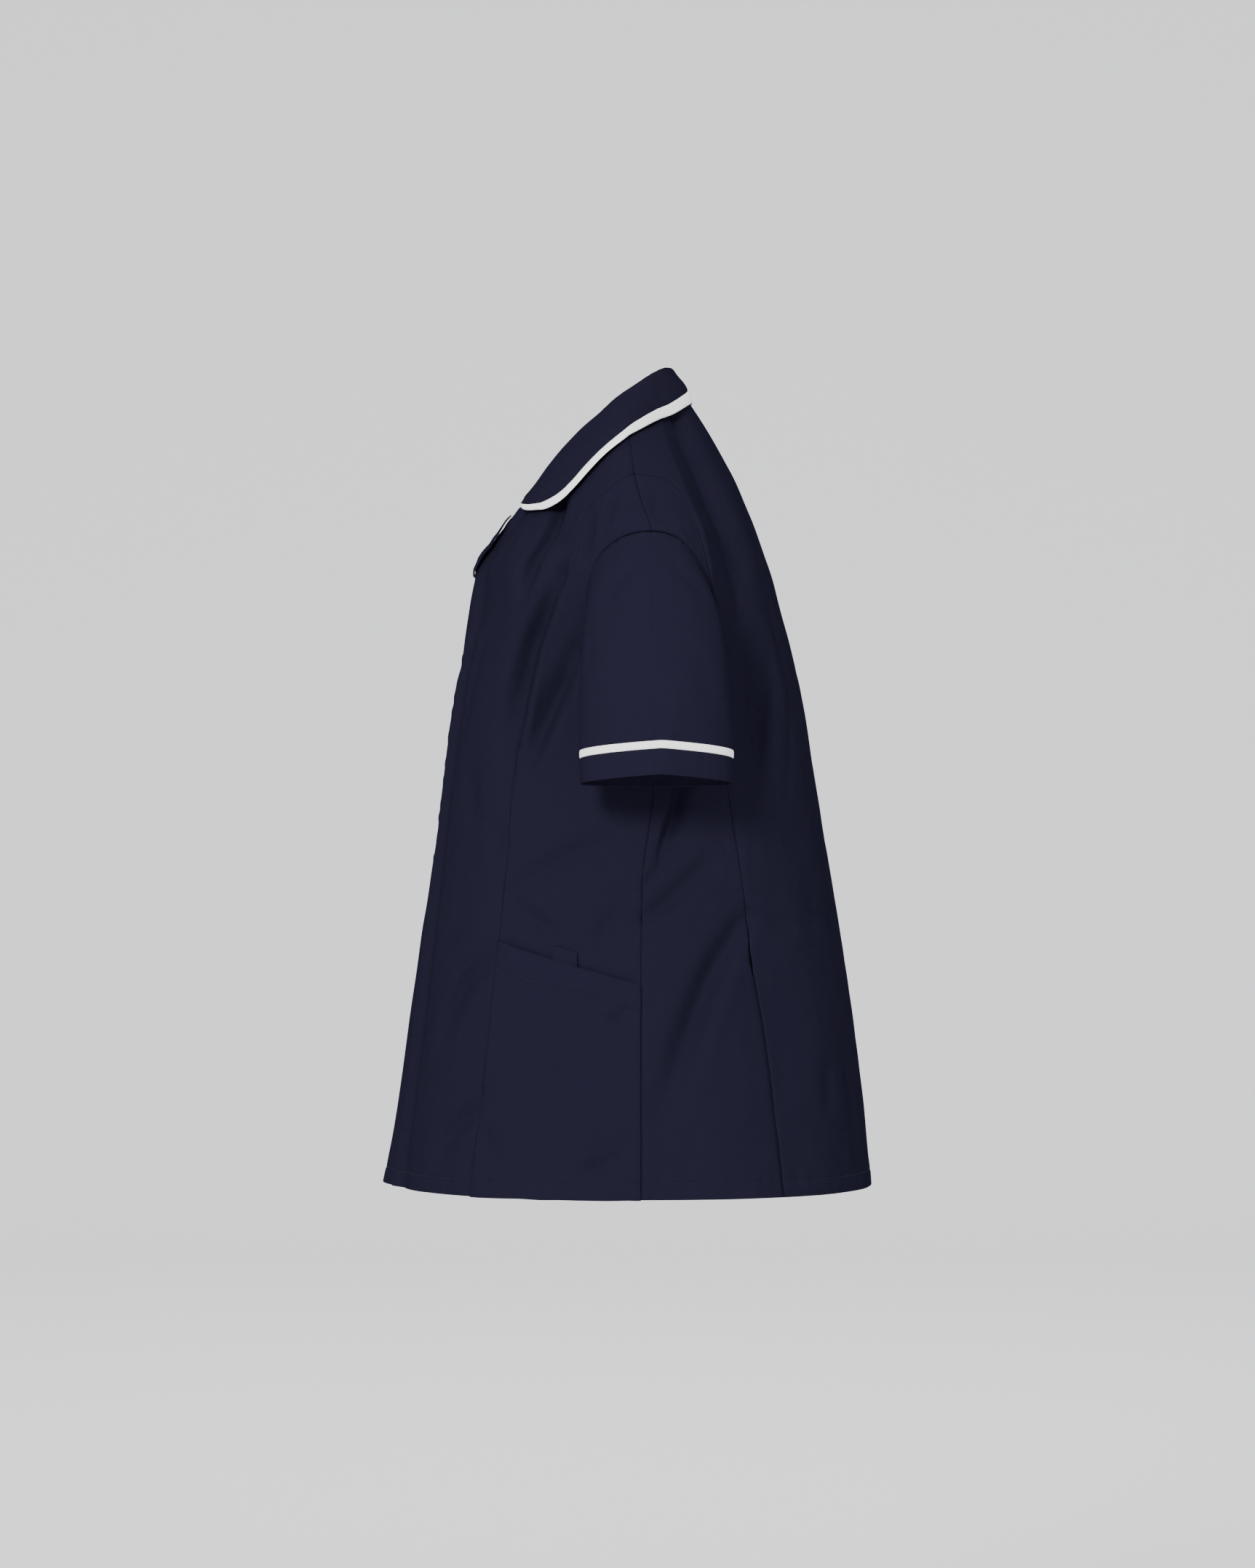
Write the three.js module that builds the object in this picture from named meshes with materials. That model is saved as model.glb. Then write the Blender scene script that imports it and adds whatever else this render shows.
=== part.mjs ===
// A short-sleeved work tunic with a trimmed collar, filled out as if worn, with nobody in it.
// Millimetres. +Z is up, the front faces -Y and the wearer's left is +X. The origin lies midway
// between the two points where the shoulder seams meet the neck.
import * as THREE from 'three';

// Cloth
const WALL = 1.4;
const LAYER_WALL = 1.2;
const SEAM_GAP = 0.3;
const LAP_DEPTH = WALL + 0.7;
const FAR_RIDGE = { x: -16, width: 15, rise: 2 };
const FAR_ROLL = { rise: 6.5, width: 20, fromZ: -87, fullZ: -103, easeZ: -118, endZ: -142 };

// Heights along the body
const HEM_Z = -677;
const UNDERARM_Z = -235;
const ARM_ROWS_Z = -240;
const PRINCESS_TOP_Z = -55;
const NECK_POINT_Z = 0;
const NAPE_Z = 24;

// Grid
const ROWS_BELOW = 20;
const ROWS_ARM = 10;
const ROWS = ROWS_BELOW + ROWS_ARM;
const SHOULDER_STEPS = 4;
const FRONT_STEPS = 6;
const SIDE_STEPS = 6;
const NECK_STEPS = 4;
const SLEEVE_ROWS = 9;

const rad = THREE.MathUtils.degToRad;
const lerp = THREE.MathUtils.lerp;
const smoothstep = THREE.MathUtils.smoothstep;

// Level outlines of the body: how far each reaches ahead of and behind the middle, half its
// width, where its widest point lies along Y, how square the front and the back of it are (below
// 0 is pointed), and how far the middle of the front stands forward as a soft keel.
const BODY = [
  { z: -677, front: 217.5, back: 216.5, half: 187, sideY: 11.5, chest: 0.03, blades: 0.03, keel: 14 },
  { z: -600, front: 204, back: 209, half: 182, sideY: 11.5, chest: 0.03, blades: 0.03, keel: 10 },
  { z: -490, front: 188.5, back: 195, half: 175, sideY: 11.5, chest: 0.03, blades: 0.03, keel: 8 },
  { z: -405, front: 175.5, back: 181, half: 171, sideY: 13, chest: 0.03, blades: 0.03, keel: 5 },
  { z: -322, front: 165, back: 167, half: 173, sideY: 22, chest: 0.03, blades: 0.03, keel: 4.5 },
  { z: -240, front: 153, back: 154, half: 175, sideY: 21, chest: 0.03, blades: 0.04, keel: 4.5 },
  { z: -207, front: 146.5, back: 146, half: 180, sideY: 20, chest: 0.03, blades: 0.05, keel: 5 },
  { z: -163, front: 140.5, back: 134, half: 194, sideY: 20, chest: 0.02, blades: 0.05, keel: 11 },
  { z: -134, front: 137.5, back: 126, half: 200, sideY: 20, chest: -0.03, blades: 0.04, keel: 9 },
  { z: -107, front: 116.5, back: 116.5, half: 199, sideY: 20, chest: -0.08, blades: 0.03, keel: 1.5 },
  { z: -80, front: 97, back: 106.5, half: 178, sideY: 12, chest: -0.1, blades: 0.02, keel: 0 },
  { z: -56, front: 76, back: 97, half: 156, sideY: 6, chest: -0.1, blades: 0.01, keel: 0 },
  { z: -33, front: 58, back: 85, half: 133, sideY: 3, chest: -0.08, blades: 0, keel: 0 },
  { z: -15, front: 41, back: 75, half: 105, sideY: 1, chest: -0.05, blades: 0, keel: 0 },
  { z: 0, front: 24, back: 66, half: 75, sideY: 0, chest: 0, blades: 0, keel: 0 },
  { z: 24, front: 14, back: 50, half: 62, sideY: 0, chest: 0, blades: 0, keel: 0 },
];
const KEEL_X = -15;
const KEEL_WIDTH = 40;

// Where the seams and edges of the left half run. The right half mirrors them.
const FRONT_PRINCESS = [
  { z: -677, y: -136 }, { z: -560, y: -122 }, { z: -454, y: -111 }, { z: -389, y: -105 },
  { z: -333, y: -101 }, { z: -259, y: -91 }, { z: -208, y: -79 }, { z: -179, y: -69 },
  { z: -156, y: -56 }, { z: -130, y: -45 }, { z: -114, y: -41 }, { z: -93, y: -38 },
  { z: -83, y: -33 }, { z: -70, y: -18 }, { z: -61, y: -6 }, { z: -55, y: 6 },
];
const BACK_PRINCESS = [
  { z: -677, y: 135 }, { z: -621, y: 128 }, { z: -549, y: 119 }, { z: -481, y: 108 },
  { z: -416, y: 100 }, { z: -351, y: 90 }, { z: -324, y: 86 }, { z: -260, y: 80 },
  { z: -220, y: 77 }, { z: -180, y: 74 }, { z: -150, y: 71 }, { z: -110, y: 62 },
  { z: -67, y: 42 }, { z: -59, y: 32 },
  { z: -55, y: 6 },
];
const FRONT_EDGE = [
  { z: -677, x: 30 }, { z: -400, x: 26 }, { z: -240, x: 24 }, { z: -150, x: 22 },
  { z: -115, x: 28 }, { z: -79, x: 36 }, { z: -56, x: 44 }, { z: -33, x: 57 },
  { z: -15, x: 69 }, { z: 0, x: 75 },
];

// The far front runs on under the near one below the neckline.
const UNDERLAP = 14;
const UNDERLAP_TOP_Z = -172;
const UNDERLAP_END_Z = -114;

// Each back princess seam opens into a vent, where the side back runs on under the centre back.
const VENT = { topZ: -484, fullZ: -506, setInZ: -462, flushZ: -430, width: 15 };

const ARMHOLE = { y: 20, z: -171, ahead: 54, behind: 46, halfZ: 64, roundness: 0.87 };

// Sleeve and cuff
const CUFF = { x: 223, y: 24.6, halfX: 45, halfY: 65.4, z: -322.5, outerLift: 8.5, innerDrop: 2.5 };
const CUFF_CREASE = { turn: 0.056, peak: 0.5 };
const CUFF_BAND = 22;
const SLEEVE_TRIM = 6.8;

// Deep folds. Each runs from one place to another by way of a third, given as seen from the
// side of the garment that it lies on.
const FOLDS = [
  { side: 1, fromY: -66, fromZ: -98, byY: -82, byZ: -124, toY: -97, toZ: -182, width: 10, depth: -7 },
  { side: 1, fromY: -58, fromZ: -142, byY: -86, byZ: -202, toY: -102, toZ: -330, width: 10, depth: -9 },
  { side: 1, fromY: -48, fromZ: -222, byY: -70, byZ: -262, toY: -96, toZ: -324, width: 11, depth: -5 },
  { side: 1, fromY: 42, fromZ: -320, byY: 36, byZ: -350, toY: 27, toZ: -386, width: 10, depth: -8 },
  { side: 1, fromY: 80, fromZ: -380, byY: 50, byZ: -410, toY: 16, toZ: -436, width: 10, depth: -4 },
  { side: 1, fromY: 101, fromZ: -438, byY: 54, byZ: -488, toY: 22, toZ: -640, width: 12, depth: -6.5 },
  { side: 1, fromY: 48, fromZ: -72, byY: 88, byZ: -150, toY: 97, toZ: -254, width: 18, depth: -15 },
  { side: 1, fromY: 98, fromZ: -232, byY: 101, byZ: -284, toY: 98, toZ: -346, width: 16, depth: -9 },
  { side: 1, fromY: -122, fromZ: -478, byY: -156, byZ: -506, toY: -168, toZ: -572, width: 11, depth: -4.5 },
  { side: 1, fromY: -130, fromZ: -598, byY: -152, byZ: -628, toY: -174, toZ: -655, width: 11, depth: -4 },
  { side: -1, fromY: -66, fromZ: -98, byY: -84, byZ: -140, toY: -97, toZ: -182, width: 9, depth: -5 },
  { side: -1, fromY: -60, fromZ: -140, byY: -80, byZ: -215, toY: -100, toZ: -286, width: 10, depth: -6 },
  { side: -1, fromY: 36, fromZ: -330, byY: 28, byZ: -362, toY: 18, toZ: -404, width: 11, depth: -7 },
  { side: -1, fromY: 12, fromZ: -430, byY: 44, byZ: -418, toY: 72, toZ: -396, width: 10, depth: -4 },
  { side: -1, fromY: 94, fromZ: -446, byY: 60, byZ: -506, toY: 26, toZ: -616, width: 13, depth: -6 },
  { side: -1, fromY: 50, fromZ: -80, byY: 86, byZ: -160, toY: 94, toZ: -250, width: 18, depth: -13 },
  { side: -1, fromY: 96, fromZ: -240, byY: 99, byZ: -284, toY: 96, toZ: -330, width: 15, depth: -7 },
  { side: -1, fromY: -128, fromZ: -500, byY: -150, byZ: -530, toY: -166, toZ: -590, width: 11, depth: -4 },
];
const FOLD_RADIUS = 165;
const FOLD_STEPS = 10;

// Patch pocket over the lower side front, open along its slanted top, and the pen loop on it
const POCKET = { frontZ: -457, sideZ: -494, inset: 1, rowSpace: 8, gape: 1.2 };
const PEN_LOOP = { from: 0.42, to: 0.59, rise: 12, clear: 0.6 };

// Leaf of front facing turned back along the neckline
const LAPEL = { topZ: -88, bottomZ: -138, width: 8, inset: 0.6, steps: 8, clear: 0.4, farClear: 1.5 };

// Collar, in stations from the centre back to the front end: how high the neck seam lies there,
// where the fold is, and where the outer edge rests on the body, by angle and height.
const COLLAR = [
  { at: 0, seamZ: 24, foldX: 0, foldY: 35.6, foldZ: 48.5, edgeAngle: 180, edgeZ: 17.6 },
  { at: 0.14, seamZ: 18, foldX: 22, foldY: 32.5, foldZ: 46.5, edgeAngle: 148, edgeZ: 10 },
  { at: 0.28, seamZ: 11, foldX: 44, foldY: 22, foldZ: 40, edgeAngle: 121, edgeZ: -2 },
  { at: 0.42, seamZ: 4, foldX: 62, foldY: 4, foldZ: 26.5, edgeAngle: 100, edgeZ: -15 },
  { at: 0.52, seamZ: -4, foldX: 68, foldY: -12, foldZ: 15, edgeAngle: 86, edgeZ: -26 },
  { at: 0.6, seamZ: -14, foldX: 65, foldY: -25, foldZ: 3, edgeAngle: 74, edgeZ: -37 },
  { at: 0.7, seamZ: -26, foldX: 57, foldY: -43, foldZ: -13, edgeAngle: 61, edgeZ: -54 },
  { at: 0.78, seamZ: -38, foldX: 51, foldY: -56, foldZ: -26, edgeAngle: 52, edgeZ: -71 },
  { at: 0.86, seamZ: -52, foldX: 45, foldY: -70, foldZ: -44, edgeAngle: 44, edgeZ: -81.5 },
  { at: 0.92, seamZ: -63, foldX: 41, foldY: -80, foldZ: -57, edgeAngle: 35, edgeZ: -85.5 },
  { at: 0.97, seamZ: -71, foldX: 38, foldY: -88, foldZ: -67, edgeAngle: 24, edgeZ: -85 },
  { at: 1, seamZ: -77, foldX: 36, foldY: -93, foldZ: -74, edgeAngle: 15.5, edgeZ: -81 },
];
const COLLAR_TRIM = 10;
const COLLAR_STEPS = 20;
const MAIN_STEPS = 9;
const TRIM_STEPS = 2;
const COLLAR_LIFT = 3.8;
const COLLAR_SEAM = { lift: 0.1, clear: 1.6 };

const COLOURS = { navy: 0x2b2c42, white: 0xececec };

// Smooth values between the rows of a table that never overshoot them.
function column(rows, by, name) {
  const ordered = [...rows].sort((a, b) => a[by] - b[by]);
  const xs = ordered.map((row) => row[by]);
  const ys = ordered.map((row) => row[name]);
  const last = xs.length - 1;
  const rises = xs.slice(1).map((x, i) => (ys[i + 1] - ys[i]) / (x - xs[i]));
  const slopes = xs.map((x, i) => {
    if (i === 0) return rises[0];
    if (i === last) return rises[last - 1];
    const [before, after] = [rises[i - 1], rises[i]];
    return before * after <= 0 ? 0 : (2 * before * after) / (before + after);
  });
  return (x) => {
    const clamped = THREE.MathUtils.clamp(x, xs[0], xs[last]);
    const i = Math.min(last - 1, Math.max(0, xs.findIndex((value) => value > clamped) - 1));
    const at = clamped >= xs[last] ? last - 1 : i;
    const span = xs[at + 1] - xs[at];
    const t = (clamped - xs[at]) / span;
    const [t2, t3] = [t * t, t * t * t];
    return (2 * t3 - 3 * t2 + 1) * ys[at] + (t3 - 2 * t2 + t) * span * slopes[at]
      + (3 * t2 - 2 * t3) * ys[at + 1] + (t3 - t2) * span * slopes[at + 1];
  };
}

const body = Object.fromEntries(
  ['front', 'back', 'half', 'sideY', 'chest', 'blades', 'keel'].map((name) => [name, column(BODY, 'z', name)]),
);
const frontPrincessY = column(FRONT_PRINCESS, 'z', 'y');
const backPrincessY = column(BACK_PRINCESS, 'z', 'y');
const frontEdgeX = column(FRONT_EDGE, 'z', 'x');

// The body's plain outline: 0 is the middle of the front, 90 degrees the left side, 180 the back.
function plainPoint(angle, z) {
  const cos = Math.cos(angle);
  const depth = cos > 0 ? body.front(z) - body.keel(z) + body.sideY(z) : body.back(z) - body.sideY(z);
  const swell = 1 + (cos > 0 ? body.chest(z) : body.blades(z)) * Math.sin(2 * angle) ** 2;
  const x = body.half(z) * Math.sin(angle) * swell;
  const keel = cos > 0 ? body.keel(z) * Math.exp(-(((x - KEEL_X) / KEEL_WIDTH) ** 2)) : 0;
  return new THREE.Vector3(x, body.sideY(z) - depth * cos * swell - keel, z);
}

// The angle at which the left side's outline passes a given Y, between two angles.
function angleAtY(z, y, low, high) {
  let [a, b] = [low, high];
  for (let i = 0; i < 40; i += 1) {
    const middle = (a + b) / 2;
    if (plainPoint(middle, z).y < y) a = middle;
    else b = middle;
  }
  return (a + b) / 2;
}

const frontAngle = (z, y) => angleAtY(z, y, rad(4), rad(90));
const backAngle = (z, y) => angleAtY(z, y, rad(90), rad(178));

// The angle at which the left side's outline passes a given X, on the front
function angleAtX(z, x) {
  let [a, b] = [0, rad(90)];
  for (let i = 0; i < 40; i += 1) {
    const middle = (a + b) / 2;
    if (plainPoint(middle, z).x < Math.abs(x)) a = middle;
    else b = middle;
  }
  return (Math.sign(x) * (a + b)) / 2;
}

const routes = FOLDS.map((fold) => {
  const stop = (y, z) => ({ angle: (y < body.sideY(z) ? frontAngle : backAngle)(z, y), z });
  const [from, by, to] = [stop(fold.fromY, fold.fromZ), stop(fold.byY, fold.byZ), stop(fold.toY, fold.toZ)];
  const points = Array.from({ length: FOLD_STEPS + 1 }, (_, i) => {
    const t = i / FOLD_STEPS;
    const mix = (a, b, c) => (1 - t) ** 2 * a + 2 * t * (1 - t) * b + t ** 2 * c;
    return { angle: mix(from.angle, by.angle, to.angle), z: mix(from.z, by.z, to.z) };
  });
  return { ...fold, points };
});

// How far the folds push the cloth out at a place on the body.
function foldDepth(angle, z) {
  const turned = Math.atan2(Math.sin(angle), Math.cos(angle));
  return routes.reduce((sum, fold) => {
    if (fold.side * turned < 0) return sum;
    const distances = fold.points.map((point) =>
      Math.hypot((Math.abs(turned) - point.angle) * FOLD_RADIUS, z - point.z));
    return sum + fold.depth * Math.exp(-((Math.min(...distances) / fold.width) ** 2));
  }, 0);
}

function normalAt(place, u, v, du, dv) {
  const along = place(u + du, v).sub(place(u - du, v));
  const up = place(u, v + dv).sub(place(u, v - dv));
  return along.cross(up).normalize();
}

const plainNormal = (angle, z) => normalAt(plainPoint, angle, z, 0.004, 0.8);

function bodyPoint(angle, z) {
  const depth = foldDepth(angle, z);
  const point = plainPoint(angle, z);
  return Math.abs(depth) < 0.01 ? point : point.addScaledVector(plainNormal(angle, z), depth);
}

const bodyNormal = (angle, z) => normalAt(bodyPoint, angle, z, 0.004, 0.8);

// A closed wall from a grid of outer points, each with the way that is out.
function wallSolid(grid, thickness, { ring = false } = {}) {
  const rows = grid.length;
  const columns = grid[0].length;
  const positions = [];
  grid.flat().forEach(({ point }) => positions.push(point.x, point.y, point.z));
  grid.flat().forEach(({ point, out }) => {
    const inner = point.clone().addScaledVector(out, -thickness);
    positions.push(inner.x, inner.y, inner.z);
  });
  const offset = rows * columns;
  const index = [];
  const outer = (i, j) => i * columns + (j % columns);
  const inner = (i, j) => outer(i, j) + offset;
  const quad = (a, b, c, d) => index.push(a, b, c, a, c, d);
  const spans = ring ? columns : columns - 1;
  for (let i = 0; i < rows - 1; i += 1) {
    for (let j = 0; j < spans; j += 1) {
      quad(outer(i, j), outer(i, j + 1), outer(i + 1, j + 1), outer(i + 1, j));
      quad(inner(i, j), inner(i + 1, j), inner(i + 1, j + 1), inner(i, j + 1));
    }
  }
  for (let j = 0; j < spans; j += 1) {
    quad(outer(0, j + 1), outer(0, j), inner(0, j), inner(0, j + 1));
    quad(outer(rows - 1, j), outer(rows - 1, j + 1), inner(rows - 1, j + 1), inner(rows - 1, j));
  }
  if (!ring) {
    for (let i = 0; i < rows - 1; i += 1) {
      quad(outer(i, 0), outer(i + 1, 0), inner(i + 1, 0), inner(i, 0));
      quad(outer(i + 1, columns - 1), outer(i, columns - 1), inner(i, columns - 1), inner(i + 1, columns - 1));
    }
  }
  const geometry = new THREE.BufferGeometry();
  geometry.setAttribute('position', new THREE.Float32BufferAttribute(positions, 3));
  geometry.setIndex(volume(positions, index) < 0 ? flipped(index) : index);
  geometry.computeVertexNormals();
  return geometry;
}

function volume(positions, index) {
  const corner = (i) => new THREE.Vector3().fromArray(positions, index[i] * 3);
  let sum = 0;
  for (let i = 0; i < index.length; i += 3) sum += corner(i).dot(corner(i + 1).cross(corner(i + 2)));
  return sum / 6;
}

function flipped(index) {
  const turned = [...index];
  for (let i = 0; i < turned.length; i += 3) [turned[i + 1], turned[i + 2]] = [turned[i + 2], turned[i + 1]];
  return turned;
}

// Moves the rim of a grid inwards along the cloth, so that pieces stay apart at their seams.
function insetRim(grid, distance) {
  const rows = grid.length - 1;
  const columns = grid[0].length - 1;
  const moved = grid.map((row) => row.map(({ point, out }) => ({ point: point.clone(), out })));
  const shift = (i, j, towards, ahead, behind) => {
    const along = grid[ahead[0]][ahead[1]].point.clone().sub(grid[behind[0]][behind[1]].point);
    const across = along.cross(grid[i][j].out).normalize();
    const inward = grid[towards[0]][towards[1]].point.clone().sub(grid[i][j].point);
    moved[i][j].point.addScaledVector(across, distance * Math.sign(across.dot(inward)));
  };
  for (let i = 0; i <= rows; i += 1) {
    const [ahead, behind] = [Math.min(rows, i + 1), Math.max(0, i - 1)];
    shift(i, 0, [i, 1], [ahead, 0], [behind, 0]);
    shift(i, columns, [i, columns - 1], [ahead, columns], [behind, columns]);
  }
  for (let j = 0; j <= columns; j += 1) {
    const [ahead, behind] = [Math.min(columns, j + 1), Math.max(0, j - 1)];
    shift(rows, j, [rows - 1, j], [rows, ahead], [rows, behind]);
  }
  return moved;
}

// Edges of the panels, as places on the body for each row from the hem up
const armShare = (row) => Math.max(0, row - ROWS_BELOW) / ROWS_ARM;
const belowShare = (row) => Math.min(1, row / ROWS_BELOW);

function seamRow(row, topZ, seamY, angleOf) {
  const z = row <= ROWS_BELOW
    ? lerp(HEM_Z, ARM_ROWS_Z, belowShare(row))
    : lerp(ARM_ROWS_Z, topZ, 1 - (1 - armShare(row)) ** 1.6);
  return { angle: row === ROWS ? rad(90) : angleOf(z, seamY(z)), z };
}

const frontPrincess = (row) => seamRow(row, PRINCESS_TOP_Z, frontPrincessY, frontAngle);
const backPrincess = (row) => seamRow(row, PRINCESS_TOP_Z, backPrincessY, backAngle);

function frontEdge(row) {
  const z = row <= ROWS_BELOW
    ? lerp(HEM_Z, ARM_ROWS_Z, belowShare(row))
    : lerp(ARM_ROWS_Z, NECK_POINT_Z, armShare(row));
  return { angle: row === ROWS ? rad(90) : angleAtX(z, frontEdgeX(z)), z };
}

// The armhole, by a turn from 0 at its top round the back to 180 degrees below and on to the front
function armholePlace(turn, grow) {
  const round = (value) => Math.sign(value) * Math.abs(value) ** ARMHOLE.roundness;
  const reach = Math.sin(turn) < 0 ? ARMHOLE.ahead : ARMHOLE.behind;
  const y = ARMHOLE.y + (reach + grow) * round(Math.sin(turn));
  const z = ARMHOLE.z + (ARMHOLE.halfZ + grow) * round(Math.cos(turn));
  const sideY = body.sideY(z);
  if (Math.abs(Math.sin(turn)) < 1e-6) return { angle: rad(90), z };
  return { angle: (y < sideY ? frontAngle : backAngle)(z, y), z };
}

// The side seam, then the armhole: way is 1 round its front and -1 round its back.
function sideEdge(row, way) {
  if (row <= ROWS_BELOW) return { angle: rad(90), z: lerp(HEM_Z, UNDERARM_Z, belowShare(row)) };
  return armholePlace(Math.PI * (1 + way * armShare(row)), 0);
}

const rowsOf = (edge) => Array.from({ length: ROWS + 1 }, (_, row) => edge(row));

// A panel's places, row by row between its two long edges
function ruled(left, right, columns) {
  return left.map((from, i) => Array.from({ length: columns + 1 }, (_, j) => ({
    angle: lerp(from.angle, right[i].angle, j / columns),
    z: lerp(from.z, right[i].z, j / columns),
  })));
}

// Turns places into outer points, moved in by a depth that may vary over the panel.
function outerGrid(places, side, depthAt = () => 0) {
  return places.map((row) => row.map(({ angle, z }) => {
    const turned = side * angle;
    const out = bodyNormal(turned, z);
    return { point: bodyPoint(turned, z).addScaledVector(out, -depthAt(angle, z)), out };
  }));
}

function panelSolid(places, side, depthAt) {
  return wallSolid(insetRim(outerGrid(places, side, depthAt), SEAM_GAP / 2), WALL);
}

const group = new THREE.Group();
const materials = {
  navy: () => new THREE.MeshStandardMaterial({ color: COLOURS.navy, roughness: 0.85, metalness: 0 }),
  white: () => new THREE.MeshStandardMaterial({ color: COLOURS.white, roughness: 0.8, metalness: 0 }),
};

function add(name, geometry, colour = 'navy') {
  const mesh = new THREE.Mesh(geometry, materials[colour]());
  mesh.name = name;
  group.add(mesh);
}

const SIDES = [{ name: 'left', side: 1 }, { name: 'right', side: -1 }];

const nearFrontPlaces = () => ruled(rowsOf(frontEdge), rowsOf(frontPrincess), FRONT_STEPS);

// The far front's own edge rolls forward below the collar, then lies past the middle, under the
// near front.
function farFrontEdgeX(z) {
  const past = smoothstep(UNDERLAP_END_Z - z, 0, UNDERLAP_END_Z - UNDERLAP_TOP_Z);
  return lerp(frontEdgeX(z), -(frontEdgeX(z) + UNDERLAP), past);
}

function farFrontEdge(row) {
  const near = frontEdge(row);
  return row === ROWS ? near : { angle: angleAtX(near.z, farFrontEdgeX(near.z)), z: near.z };
}

const farFrontPlaces = () => ruled(rowsOf(farFrontEdge), rowsOf(frontPrincess), FRONT_STEPS + 2);

function farFrontDepth(angle, z) {
  const x = -plainPoint(angle, z).x;
  const lap = LAP_DEPTH * smoothstep(x, -48, -4) * smoothstep(-z, 100, 130);
  const ridge = FAR_RIDGE.rise * Math.exp(-(((x - FAR_RIDGE.x) / FAR_RIDGE.width) ** 2));
  const fromEdge = Math.max(0, -x - farFrontEdgeX(z));
  const roll = FAR_ROLL.rise * Math.exp(-((fromEdge / FAR_ROLL.width) ** 2))
    * smoothstep(-z, -FAR_ROLL.fromZ, -FAR_ROLL.fullZ) * (1 - smoothstep(-z, -FAR_ROLL.easeZ, -FAR_ROLL.endZ));
  return lap - ridge * smoothstep(-z, 130, 165) - roll;
}

const sideFrontPlaces = () => ruled(rowsOf(frontPrincess), rowsOf((row) => sideEdge(row, 1)), SIDE_STEPS);

// Below the vent's top the side back is wider, and set in to lie under the centre back.
function ventEdge(row) {
  const seam = backPrincess(row);
  const extra = VENT.width * smoothstep(-seam.z, -VENT.topZ, -VENT.fullZ);
  return { angle: seam.angle + extra / FOLD_RADIUS, z: seam.z };
}

const sideBackPlaces = () => ruled(rowsOf((row) => sideEdge(row, -1)), rowsOf(ventEdge), SIDE_STEPS);

function ventDepth(angle, z) {
  const seam = backAngle(z, backPrincessY(z));
  const near = smoothstep((angle - seam) * FOLD_RADIUS, -26, -3);
  return LAP_DEPTH * near * smoothstep(-z, -VENT.flushZ, -VENT.setInZ);
}

// The centre back spans from seam to seam, and its top follows both shoulders and the neck.
function centreBackPlaces() {
  const half = SHOULDER_STEPS + NECK_STEPS;
  const top = Array.from({ length: 2 * half + 1 }, (_, j) => {
    const fromSeam = Math.min(j, 2 * half - j);
    const shoulder = Math.min(1, fromSeam / SHOULDER_STEPS);
    const neck = Math.max(0, fromSeam - SHOULDER_STEPS) / NECK_STEPS;
    const share = j > half ? 1 - neck / 2 : neck / 2;
    const rise = neck > 0 ? lerp(NECK_POINT_Z, NAPE_Z, neck) : lerp(PRINCESS_TOP_Z, NECK_POINT_Z, shoulder);
    return { share, rise: rise - PRINCESS_TOP_Z };
  });
  return rowsOf(backPrincess).map(({ angle, z }, row) => {
    const reach = armShare(row) ** 1.5;
    return top.map(({ share, rise }, j) => ({
      angle: lerp(angle, 2 * Math.PI - angle, lerp(j / (2 * half), share, reach)),
      z: z + reach * rise,
    }));
  });
}

// Sleeves
function sleeveLine(turn, side) {
  const place = armholePlace(turn, -SEAM_GAP);
  const start = bodyPoint(side * place.angle, place.z);
  const cos = Math.cos(turn);
  const up = (1 + cos) / 2;
  const pressed = 1 - Math.abs(Math.sin(turn - CUFF_CREASE.turn));
  const peaked = Math.sign(cos) * lerp(Math.abs(cos), pressed, CUFF_CREASE.peak);
  const end = new THREE.Vector3(
    side * (CUFF.x + CUFF.halfX * cos),
    CUFF.y + CUFF.halfY * Math.sin(turn),
    CUFF.z + (cos > 0 ? CUFF.outerLift : CUFF.innerDrop) * peaked,
  );
  const spread = (Math.sin(turn) > 0 ? 0.5 : 0.12) * Math.sin(turn);
  const leave = new THREE.Vector3(side * lerp(0.93, 0.74, up), spread, lerp(-0.36, -0.67, up));
  const arrive = new THREE.Vector3(side * 0.04 * cos, 0, -1);
  const bezier = new THREE.CubicBezierCurve3(
    start,
    start.clone().addScaledVector(leave, lerp(11, 62, up ** 0.8)),
    end.clone().addScaledVector(arrive, -lerp(46, 84, up)),
    end,
  );
  return { bezier, length: bezier.getLength() };
}

const RING_STEPS = 2 * ROWS_ARM;

function sleeveGrid(side, aboveOf, rows) {
  const turns = Array.from({ length: RING_STEPS }, (_, j) => (2 * Math.PI * j) / RING_STEPS);
  const lines = turns.map((turn) => sleeveLine(turn, side));
  const points = Array.from({ length: rows + 1 }, (_, i) => lines.map(({ bezier, length }) => {
    const above = aboveOf(i / rows, length);
    return bezier.getPointAt(THREE.MathUtils.clamp(1 - above / length, 0, 1));
  }));
  return points.map((row, i) => row.map((point, j) => {
    const along = row[(j + 1) % RING_STEPS].clone().sub(row[(j + RING_STEPS - 1) % RING_STEPS]);
    const down = points[Math.min(rows, i + 1)][j].clone().sub(points[Math.max(0, i - 1)][j]);
    return { point, out: down.cross(along).normalize().multiplyScalar(side) };
  }));
}

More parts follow.
